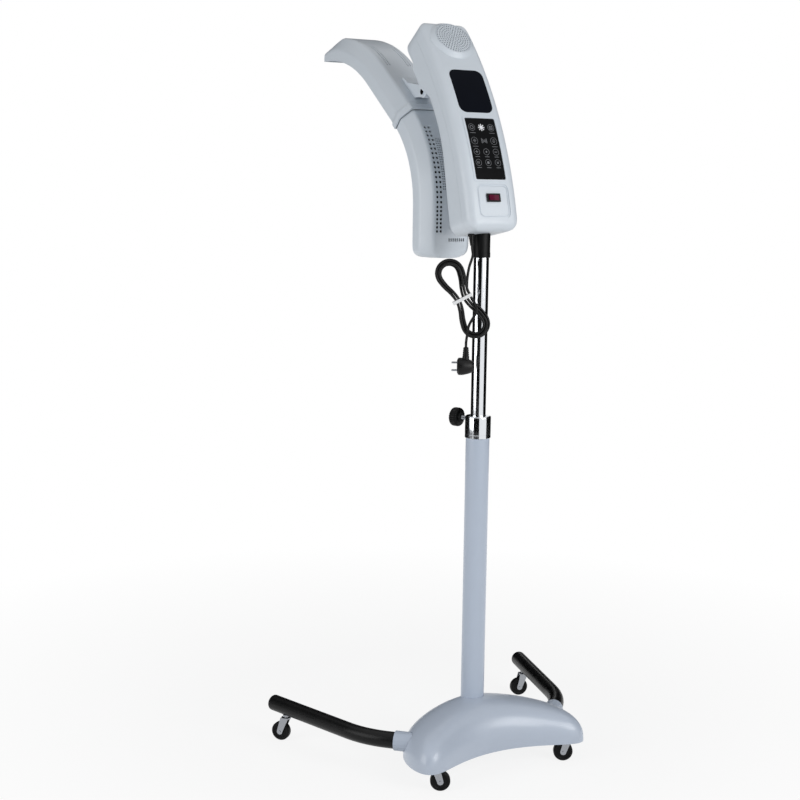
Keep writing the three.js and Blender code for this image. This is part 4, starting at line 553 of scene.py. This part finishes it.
# Switch plate: a shallow pale plate with rounded corners and a fine groove round its edge.
plate = face_strip("switch_face_plate", 92, -0.4, 1.5, 32, 116, 14)
groove = carve(face_strip("groove_outer", 84, -2, 0.1, 36, 112, 11), face_strip("groove_inner", 82.8, -4, 2, 36.6, 111.4, 10.4))
carve(plate, face_box("rocker_way", 82, 36.6, 18.6, -15, 15), groove)
dressed(plate, pale_plastic, "head", "switch_plate", slot="white_plastic")

# Power switch: a black frame clipped through the plate, and a dark red rocker.
rocker_red = surface("rocker_red", (92, 22, 48), 0.3, vary=0.08, grain=0.4, mottle=8, bump=0.02, gloss=0.12)
kept(cap_plastic, "rocker_frame", bevel=0.4)
kept(rocker_red, "power_rocker", bevel=0.5)

# Fan: a perforated disc in the raised ring, with the rotor and its frame behind it.
holes = []
ring_side = Vector((1, 0, 0))
ring_up = ring_out.cross(ring_side)
for ring in range(8):
    count = max(6 * ring, 1)
    for k in range(count):
        angle = 2 * math.pi * k / count
        spot = ring_foot + ring_side * 6.5 * ring * math.cos(angle) + ring_up * 6.5 * ring * math.sin(angle)
        holes.append(rod("hole", spot + ring_out * 4, spot + ring_out * 16, 2.2, 12))
disc = turned("fan_disc", [(0, 6.3), (48.2, 6.3), (48.9, 6.8), (48.9, 8.3), (48, 9), (44, 9.5), (30, 10.2), (0, 10.6)], ring_foot, ring_out, 96)
carve(disc, gathered("holes", holes))
dressed(disc, pale_plastic, "head", "fan_grille", slot="white_plastic")
kept(cap_plastic, "fan_frame", "fan_rotor", bevel=0.4)

# Inside the console: a steel chassis on the sleeve, the control board on its pillars and the power supply.
# All of it is hidden by the covers.
board_green = surface("board_green", (36, 92, 60), 0.5, vary=0.2, grain=0.6, mottle=4, bump=0.1)
case_grey = surface("case_grey", (140, 147, 155), 0.5, grain=0.6, bump=0.1)
kept(zinc, "console_chassis", bevel=0.5)
kept(board_green, "control_board")
kept(case_grey, "power_supply", bevel=1.0)

# Hinge: a forked block on the console's back, the hood's arm between its cheeks and a plated pin through both.
kept(pale_plastic, "hinge_housing", "hood_arm", bevel=1.2)
kept(chrome, "hinge_pin", bevel=0.6)

# Hood lower cover: a bevelled channel that rises from a rounded tongue and leans back towards the seam.
# Its back has vent holes in columns near the edges and a row of slots above the tongue.
SEAM = 316
ARCH = ((86, 0, 0), (260 * math.radians(53), 0, 53), (185, 53, 53), (380 * math.radians(37), 53, 90), (28, 90, 90))
ARCH_LENGTH = sum(part[0] for part in ARCH)


def arch_point(along, x, depth):
    y, z, left, tilt = 211.0, 1334.0, along, 0.0
    for k, (length, start, end) in enumerate(ARCH):
        run = left if k == len(ARCH) - 1 else min(left, length)
        start = math.radians(start)
        turn = (math.radians(end) - start) * run / length
        tilt = start + turn
        y += run / turn * (math.cos(start) - math.cos(tilt)) if turn else run * math.sin(start)
        z += run / turn * (math.sin(tilt) - math.sin(start)) if turn else run * math.cos(start)
        left -= run
        if left <= 0:
            break
    return Vector((x, y - depth * math.cos(tilt), z + depth * math.sin(tilt)))


def hood_depth(along):
    return 64 - 24 * min(max((along - ARCH_LENGTH + 62) / 62, 0), 1)


def softened(outline, radius, picked, steps=6):
    # Rounds the picked corners of a closed outline
    made = []
    count = len(outline)
    for k, corner in enumerate(outline):
        corner = Vector(corner)
        if k not in picked:
            made.append(corner)
            continue
        before, after = Vector(outline[k - 1]) - corner, Vector(outline[(k + 1) % count]) - corner
        reach = min(radius, 0.42 * before.length, 0.42 * after.length)
        first, last = corner + before.normalized() * reach, corner + after.normalized() * reach
        for t in np.linspace(0, 1, steps):
            made.append(first * (1 - t) ** 2 + corner * 2 * t * (1 - t) + last * t * t)
    return made


def hood_row(along, grow, front, narrow=1.0, trim=0.0):
    depth = hood_depth(along) - trim
    half = 76 * narrow + grow
    bevel = min(25, half * 0.4)
    side, back = min(32, depth * 0.5) + grow * 0.4, depth + grow
    outline = [(half, front), (half, side), (half - bevel, back), (bevel - half, back), (-half, side), (-half, front)]
    return [arch_point(along, p.x, p.y) for p in softened(outline, 7, (1, 2, 3, 4))]


def lower_rows(wall, front, end):
    rows = []
    for share in (0.9995, 0.997, 0.99, 0.975, 0.95, 0.91, 0.86, 0.79, 0.7, 0.58, 0.44, 0.3, 0.15):
        narrow = (1 - share ** 4.5) ** (1 / 4.5)
        rows.append(hood_row(-(47 - wall) * share, -wall, front, narrow, 10 * share ** 2))
    rows += [hood_row(s, -wall, front) for s in np.linspace(0, SEAM - 0.3, 26)]
    return rows + [hood_row(SEAM - 0.3 + end, -wall, front)] * bool(end)


lower = carve(skinned("hood_lower_shell", lower_rows(0, 0, 0)), skinned("hood_hollow", lower_rows(3, -6, 6)))
vents = []
for row in range(24):
    along = 22 + 10.3 * row
    for x in (-40.5, -29.5, 29.5, 40.5):
        vents.append(rod("vent", arch_point(along, x, 56), arch_point(along, x, 70), 3.6, 12))
for row in range(22):
    for column in range(-4, 5):
        along, x = 121 + 5.2 * row, 5.2 * column
        vents.append(rod("vent", arch_point(along, x, 56), arch_point(along, x, 70), 2.05, 8))
for k in range(8):
    x = -4 + 6.2 * k
    slot_rows = [[arch_point(s, x + u, d) for u, s in ((-1.8, -4.2), (1.8, -4.2), (1.8, 4.2), (-1.8, 4.2))] for d in (54, 72)]
    vents.append(skinned("slot", slot_rows))
carve(lower, gathered("vents", vents))
dressed(lower, pale_plastic, "hood", "hood_lower_cover", slot="white_plastic", sharp=24)


def arch_sheet(name, half, d0, d1, low, high, steps):
    # Thin sheet that follows the arch
    return skinned(name, [[arch_point(s, x, d) for x, d in ((-half, d0), (half, d0), (half, d1), (-half, d1))] for s in np.linspace(low, high, steps)])


# Painted shade: a black sheet just inside the lower cover's back, behind its vent holes, so that the holes show dark
# like the shade inside the hood.
dressed(arch_sheet("vent_shade_sheet_lower", 46, 59.2, 60.2, -8, 274, 40), cap_plastic, "hood", slot="black_plastic")

# Hood upper cover: the same channel, with a flared lip over the seam, bending level towards a shallow closed tip.


def upper_grow(along):
    return 6 - eased(0, 6, SEAM + 7, SEAM + 24, along)


upper_stops = [SEAM - 7, SEAM, SEAM + 4, *np.linspace(SEAM + 7, SEAM + 24, 9), *np.linspace(SEAM + 30, ARCH_LENGTH, 54)]
upper = skinned("hood_upper_shell", [hood_row(s, upper_grow(s), 0) for s in upper_stops])
hollow_stops = [SEAM + 4, *np.linspace(SEAM + 10, ARCH_LENGTH - 3, 56)]
carve(upper, skinned("hood_hollow", [hood_row(s, -3, -6) for s in hollow_stops]),
      skinned("lip_hollow", [hood_row(s, 2.4, -6) for s in (SEAM - 12, SEAM + 4.2)]))
slots = []
for row in range(15):
    for x in (-36, -28, 28, 36):
        slots.append(rod("vent", arch_point(514 + 6.4 * row, x, 56), arch_point(514 + 6.4 * row, x, 70), 2.3, 10))
carve(upper, gathered("slots", slots))
dressed(upper, pale_plastic, "hood", "hood_upper_cover", slot="white_plastic", sharp=24)
# Painted shade: a black sheet just inside the upper cover's back, behind its vent holes, so that they show dark like
# the shade inside the hood.
dressed(arch_sheet("vent_shade_sheet_upper", 44, 59.2, 60.2, 506, 612, 16), cap_plastic, "hood", slot="black_plastic")

# Painted shade: a black strip on the lower cover's end, under the lip, that stands for the dark line of shade under the
# lip's edge.
strip = carve(skinned("lip_shade_strip", [hood_row(s, 1.6, 0) for s in np.linspace(SEAM - 6, SEAM - 0.6, 3)]),
              skinned("shade_strip_hollow", [hood_row(s, 0.2, -4) for s in np.linspace(SEAM - 12, SEAM + 5, 3)]))
dressed(strip, cap_plastic, "hood", slot="black_plastic")

# Heating panels: in each cover a bright reflector, a quartz hairpin heater on its tabs and a plated wire guard.
bright = surface("bright_sheet", (228, 230, 233), 0.2, metal=1.0, vary=0.04, rough_vary=0.06, grain=0.4, mottle=10, bump=0.03)
quartz = surface("frosted_quartz", (238, 222, 210), 0.3, vary=0.05, grain=0.5, mottle=10, bump=0.03, coat=0.5)
kept(bright, "lower_reflector", "upper_reflector")


def smooth_line(points, steps):
    # Centripetal curve through the points
    ends = [points[0] * 2 - points[1], *points, points[-1] * 2 - points[-2]]
    line = []
    for a, b, c, d in zip(ends, ends[1:], ends[2:], ends[3:]):
        t1 = (b - a).length ** 0.5
        t2 = t1 + (c - b).length ** 0.5
        t3 = t2 + (d - c).length ** 0.5
        for i in range(steps):
            t = t1 + (t2 - t1) * i / steps
            p1 = a + (b - a) * (t / t1)
            p2 = b + (c - b) * ((t - t1) / (t2 - t1))
            p3 = c + (d - c) * ((t - t2) / (t3 - t2))
            q1 = p1 + (p2 - p1) * (t / t2)
            q2 = p2 + (p3 - p2) * ((t - t1) / (t3 - t1))
            line.append(q1 + (q2 - q1) * ((t - t1) / (t2 - t1)))
    return line + [points[-1]]


def wire(name, line, radius, sides=6):
    curve = bpy.data.curves.new(name, "CURVE")
    curve.dimensions = "3D"
    curve.bevel_depth = radius / 1000
    curve.bevel_resolution = sides
    curve.use_fill_caps = True
    spline = curve.splines.new("POLY")
    spline.points.add(len(line) - 1)
    for spot, point in zip(spline.points, line):
        spot.co = (*at(*point), 1)
    spline.use_smooth = True
    piece = bpy.data.objects.new(name, curve)
    bpy.context.scene.collection.objects.link(piece)
    return piece


for name, low, high in (("lower", 12, SEAM - 12), ("upper", SEAM + 12, ARCH_LENGTH - 88)):
    rise = [float(s) for s in np.linspace(low + 8, high - 70, 7)]
    bow = [(high - 70 + 27 * math.sin(a), -27 * math.cos(a)) for a in np.linspace(0, math.pi, 9)[1:-1]]
    hairpin = [arch_point(s, -27, 32) for s in rise] + [arch_point(s, x, 32) for s, x in bow]
    hairpin += [arch_point(s, 27, 32) for s in reversed(rise)]
    tube = wire(name + "_quartz_tube", smooth_line(hairpin, 6), 5.2)
    dressed(tube, quartz, "hood", name + "_heater", slot="quartz")
    bars = []
    for x in np.linspace(-58.7, 58.7, 6):
        bars.append(swept("bar", [arch_point(s, x, 3.6) for s in np.linspace(low, high, 22)], 1.4, 8, normal=Vector((1, 0, 0))))
    for s in np.linspace(low + 4, high - 4, 7):
        bars.append(swept("bar", [arch_point(s, x, 3.6) for x in (-72.4, 0, 72.4)], 1.3, 8))
    dressed(gathered(name + "_wire_guard", bars), chrome, "hood", name + "_guard", slot="plated")

# Gland: the ribbed rubber sleeve that grips the cord in the console's underside.
rubber = surface("black_rubber", (10, 10, 11), 0.42, vary=0.12, rough_vary=0.08, grain=0.5, mottle=8, bump=0.1, gloss=0.25)
relief = [(0, -8.2), (9.2, -8.2), (9.2, -3.5), (6.2, -3.5), (6.2, 0.3), (8.7, 0.3), (8.7, 4), (6.9, 4.6)]
for k in range(6):
    rib = 6.7 - 0.32 * k
    relief += [(rib, 5.6 + 3.6 * k), (rib, 7.4 + 3.6 * k), (rib - 0.9, 7.7 + 3.6 * k), (rib - 0.9, 8.9 + 3.6 * k)]
sleeve_relief = turned("cord_strain_relief", relief + [(4.7, 27.6), (4.5, 28), (3.6, 28), (3.6, 22), (0, 22)], gland_face, gland_down, 48)
dressed(sleeve_relief, rubber, "head", "cord_gland", slot="cord_rubber")

# Cord: one lead from the gland, wound into a tied hank of two layers, then down to a side-entry plug.
# The hank leans 28 degrees and faces the camera's side of the column.
CORD_RADIUS = 3.25
aside = Vector((math.cos(math.radians(30)), -math.sin(math.radians(30)), 0))
toward = Vector((-math.sin(math.radians(30)), -math.cos(math.radians(30)), 0))
lean = math.radians(28)
hank_down = aside * math.sin(lean) - Vector((0, 0, math.cos(lean)))
hank_across = aside * math.cos(lean) + Vector((0, 0, math.sin(lean)))
HANK_CENTRE = Vector((-72.6, -29.7, 1197))
HANK_RUN, HANK_FOLD, HANK_PITCH = 70.2, 19.8, 7.6
LAYER = HANK_PITCH / 2
END_ACROSS = LAYER + 2 * HANK_PITCH + 1.8


def hank(down, across, out):
    return HANK_CENTRE + hank_down * down + hank_across * across + toward * out


def loop_spot(step, spread):
    half, turn = step % 12, 1 if step % 24 < 12 else -1
    if half <= 6:
        down = -HANK_RUN + 2 * HANK_RUN * half / 6
        waist = LAYER + (HANK_FOLD - LAYER) * 0.5 * (1 - math.cos(math.pi * abs(down) / HANK_RUN))
        return turn * down, turn * (waist + spread)
    angle = math.pi * (half - 6) / 6
    radius = HANK_FOLD + spread
    return turn * (HANK_RUN + radius * math.sin(angle)), turn * radius * math.cos(angle)


PLUG_CENTRE = Vector((-68.8, -40.8, 1031))


def plug_spot(left, up, out):
    return PLUG_CENTRE - aside * left + Vector((0, 0, up)) + toward * out


route = [gland_face + gland_down * 22.3, gland_face + gland_down * 36, gland_face + gland_down * 52 + toward * 3,
         Vector((-53, -27, 1274)), hank(-38, 33, -LAYER - 1), hank(-24, 25, -LAYER), hank(-15.5, END_ACROSS + 0.3, -LAYER),
         hank(-9, END_ACROSS, -LAYER), hank(-2.5, END_ACROSS, -LAYER)]
for step in range(4, 99):
    spread = 15.2 * abs(step - 51) / 48
    rise = min(max((step - 48) / 6, 0), 1)
    route.append(hank(*loop_spot(step, spread), LAYER * -math.cos(math.pi * rise)))
route += [hank(2.5, END_ACROSS, LAYER), hank(9, END_ACROSS, LAYER), hank(15.5, END_ACROSS + 0.3, LAYER + 0.3),
          hank(27, 22.6, LAYER + 4.5), hank(40, 19, LAYER + 9.5), plug_spot(-8, 101.5, 5.5), plug_spot(-4, 77.5, 5),
          plug_spot(-2, 59.5, 1), plug_spot(-2, 41.8, 0)]
cord_line = smooth_line(route, 6)
cord = wire("mains_cord", cord_line, CORD_RADIUS)
dressed(cord, rubber, "head", "cord_lead", "cord_hank", "cord_tail", slot="cord_rubber")

# Tie: a white plastic band round the middle of the hank.
tie_white = surface("tie_white", (232, 233, 235), 0.4, vary=0.03, grain=0.5, mottle=6, bump=0.05)
band = []
for x, y, start in ((1, 1, 0), (-1, 1, 90), (-1, -1, 180), (1, -1, 270)):
    for a in np.radians(np.linspace(start, start + 90, 9)):
        band.append([hank(down, x * 20.85 + r * math.cos(a), y * 3.85 + r * math.sin(a))
                     for r, down in ((3.5, -4), (4.7, -4), (5.1, -3.5), (5.1, 3.5), (4.7, 4), (3.5, 4))])
tie = skinned("hank_tie", band + band[:1], ends=False)
dressed(tie, tie_white, "head", "cord_tie", slot="tie_white")

# Plug: a round side-entry mains plug, with a ribbed relief on its cord and two round pins.
plug = turned("plug_shell", [(0, -19), (11, -19), (14, -18.2), (15.6, -16), (18.2, -9), (20.6, 1), (21.5, 6), (21.5, 14), (20.8, 16.2), (19, 17.6),
                             (17, 18), (16.4, 19), (0, 19)], PLUG_CENTRE, -aside, 64)
relief = [(0, 0), (8.5, 0), (8.5, 23)]
for k in range(5):
    rib = 8.3 - 0.34 * k
    relief += [(rib, 24 + 4.6 * k), (rib, 26.4 + 4.6 * k), (rib - 1.1, 26.8 + 4.6 * k), (rib - 1.1, 28.2 + 4.6 * k)]
carve(plug, turned("plug_relief", relief + [(6.4, 46.9), (6, 47.5), (0, 47.5)], plug_spot(-2, 0, 0), (0, 0, 1), 40), way="UNION")
carve(plug, rod("cord_way", plug_spot(-2, 41.5, 0), plug_spot(-2, 52, 0), 3.6, 32),
      *[rod("pin_way", plug_spot(11, up, 0), plug_spot(24, up, 0), 2.75, 24) for up in (-9.5, 9.5)])
dressed(plug, rubber, "head", "plug_body", slot="cord_rubber")
for k, up in enumerate((-9.5, 9.5)):
    pin = turned(f"plug_prong_{k + 1}", [(0, 0), (2.4, 0), (2.4, 20.4), (1.9, 21.3), (0.9, 21.7), (0, 21.7)], plug_spot(11.3, up, 0), -aside, 32)
    dressed(pin, zinc, "head", f"plug_pin_{k + 1}", slot="plated")

# Studio: a pale floor that fades into a white surround, one broad soft lamp and a weak one across from it.
floor = skinned("floor", [[(x, y, z) for x, y in ((-20000, -20000), (20000, -20000), (20000, 20000), (-20000, 20000))] for z in (-20, 0)])
floor_paint = bpy.data.materials.new("studio_floor")
floor_paint.use_nodes = True
floor.data.materials.append(floor_paint)
tree = floor_paint.node_tree
matt = tree.nodes["Principled BSDF"]
matt.inputs["Base Color"].default_value = (0.86, 0.86, 0.86, 1)
matt.inputs["Roughness"].default_value = 0.9
glow, seen = tree.nodes.new("ShaderNodeEmission"), tree.nodes.new("ShaderNodeLightPath")
spot, far = tree.nodes.new("ShaderNodeTexCoord"), tree.nodes.new("ShaderNodeVectorMath")
far.operation = "LENGTH"
fade = tree.nodes.new("ShaderNodeMapRange")
for label, value in (("From Min", 0.6), ("From Max", 2.0), ("To Min", 0.86), ("To Max", 1.0)):
    fade.inputs[label].default_value = value
share, either, mixed = tree.nodes.new("ShaderNodeMath"), tree.nodes.new("ShaderNodeMath"), tree.nodes.new("ShaderNodeMixShader")
share.operation, either.operation = "MULTIPLY", "MAXIMUM"
tree.links.new(spot.outputs["Object"], far.inputs[0])
tree.links.new(far.outputs["Value"], fade.inputs["Value"])
tree.links.new(seen.outputs["Is Camera Ray"], either.inputs[0])
tree.links.new(seen.outputs["Is Glossy Ray"], either.inputs[1])
tree.links.new(fade.outputs["Result"], share.inputs[0])
tree.links.new(either.outputs[0], share.inputs[1])
tree.links.new(share.outputs[0], mixed.inputs[0])
tree.links.new(matt.outputs[0], mixed.inputs[1])
tree.links.new(glow.outputs[0], mixed.inputs[2])
tree.links.new(mixed.outputs[0], tree.nodes["Material Output"].inputs["Surface"])
world = bpy.data.worlds.new("studio_surround")
bpy.context.scene.world = world
world.use_nodes = True
tree = world.node_tree
soft = tree.nodes["Background"]
soft.inputs["Color"].default_value = (0.97, 0.985, 1.0, 1)
soft.inputs["Strength"].default_value = 0.3
white, seen = tree.nodes.new("ShaderNodeBackground"), tree.nodes.new("ShaderNodeLightPath")
white.inputs["Color"].default_value = (1, 1, 1, 1)
either, every, mixed = tree.nodes.new("ShaderNodeMath"), tree.nodes.new("ShaderNodeMath"), tree.nodes.new("ShaderNodeMixShader")
either.operation = every.operation = "MAXIMUM"
tree.links.new(seen.outputs["Is Camera Ray"], either.inputs[0])
tree.links.new(seen.outputs["Is Glossy Ray"], either.inputs[1])
tree.links.new(either.outputs[0], every.inputs[0])
tree.links.new(seen.outputs["Is Transmission Ray"], every.inputs[1])
tree.links.new(every.outputs[0], mixed.inputs[0])
tree.links.new(soft.outputs[0], mixed.inputs[1])
tree.links.new(white.outputs[0], mixed.inputs[2])
tree.links.new(mixed.outputs[0], tree.nodes["World Output"].inputs["Surface"])
for name, place, size, power in (("key_lamp", (1100, -3000, 2000), 1.9, 60), ("fill_lamp", (-3200, 100, 1500), 2.2, 44)):
    lamp = bpy.data.objects.new(name, bpy.data.lights.new(name, "AREA"))
    bpy.context.scene.collection.objects.link(lamp)
    lamp.data.size = size
    lamp.data.energy = power
    lamp.location = at(*place)
    lamp.rotation_euler = (at(0, 100, 1000) - lamp.location).to_track_quat("-Z", "Y").to_euler()

# Flags: upright grey panels of the studio, which only mirrored light meets, so that plated metal has something dark to show.
for low_turn, high_turn, grey in ((57, 150, 14), (150, 192, 150), (197, 249, 14), (317, 412, 14)):
    cloth = surface(f"flag_cloth_{low_turn}", (grey, grey, grey), 0.9, grain=0.4, bump=0.02, gloss=0.1)
    feet = [(4000 * math.cos(math.radians(t)), 4000 * math.sin(math.radians(t))) for t in np.linspace(low_turn, high_turn, 9)]
    flag = skinned("flag", [[(x, y, 20), (x, y, 4500), (x * 1.01, y * 1.01, 4500), (x * 1.01, y * 1.01, 20)] for x, y in feet])
    flag.data.materials.append(cloth)
    flag.visible_camera = flag.visible_diffuse = flag.visible_shadow = flag.visible_transmission = False

bpy.context.scene.view_settings.view_transform = "Standard"
bpy.context.view_layer.update()
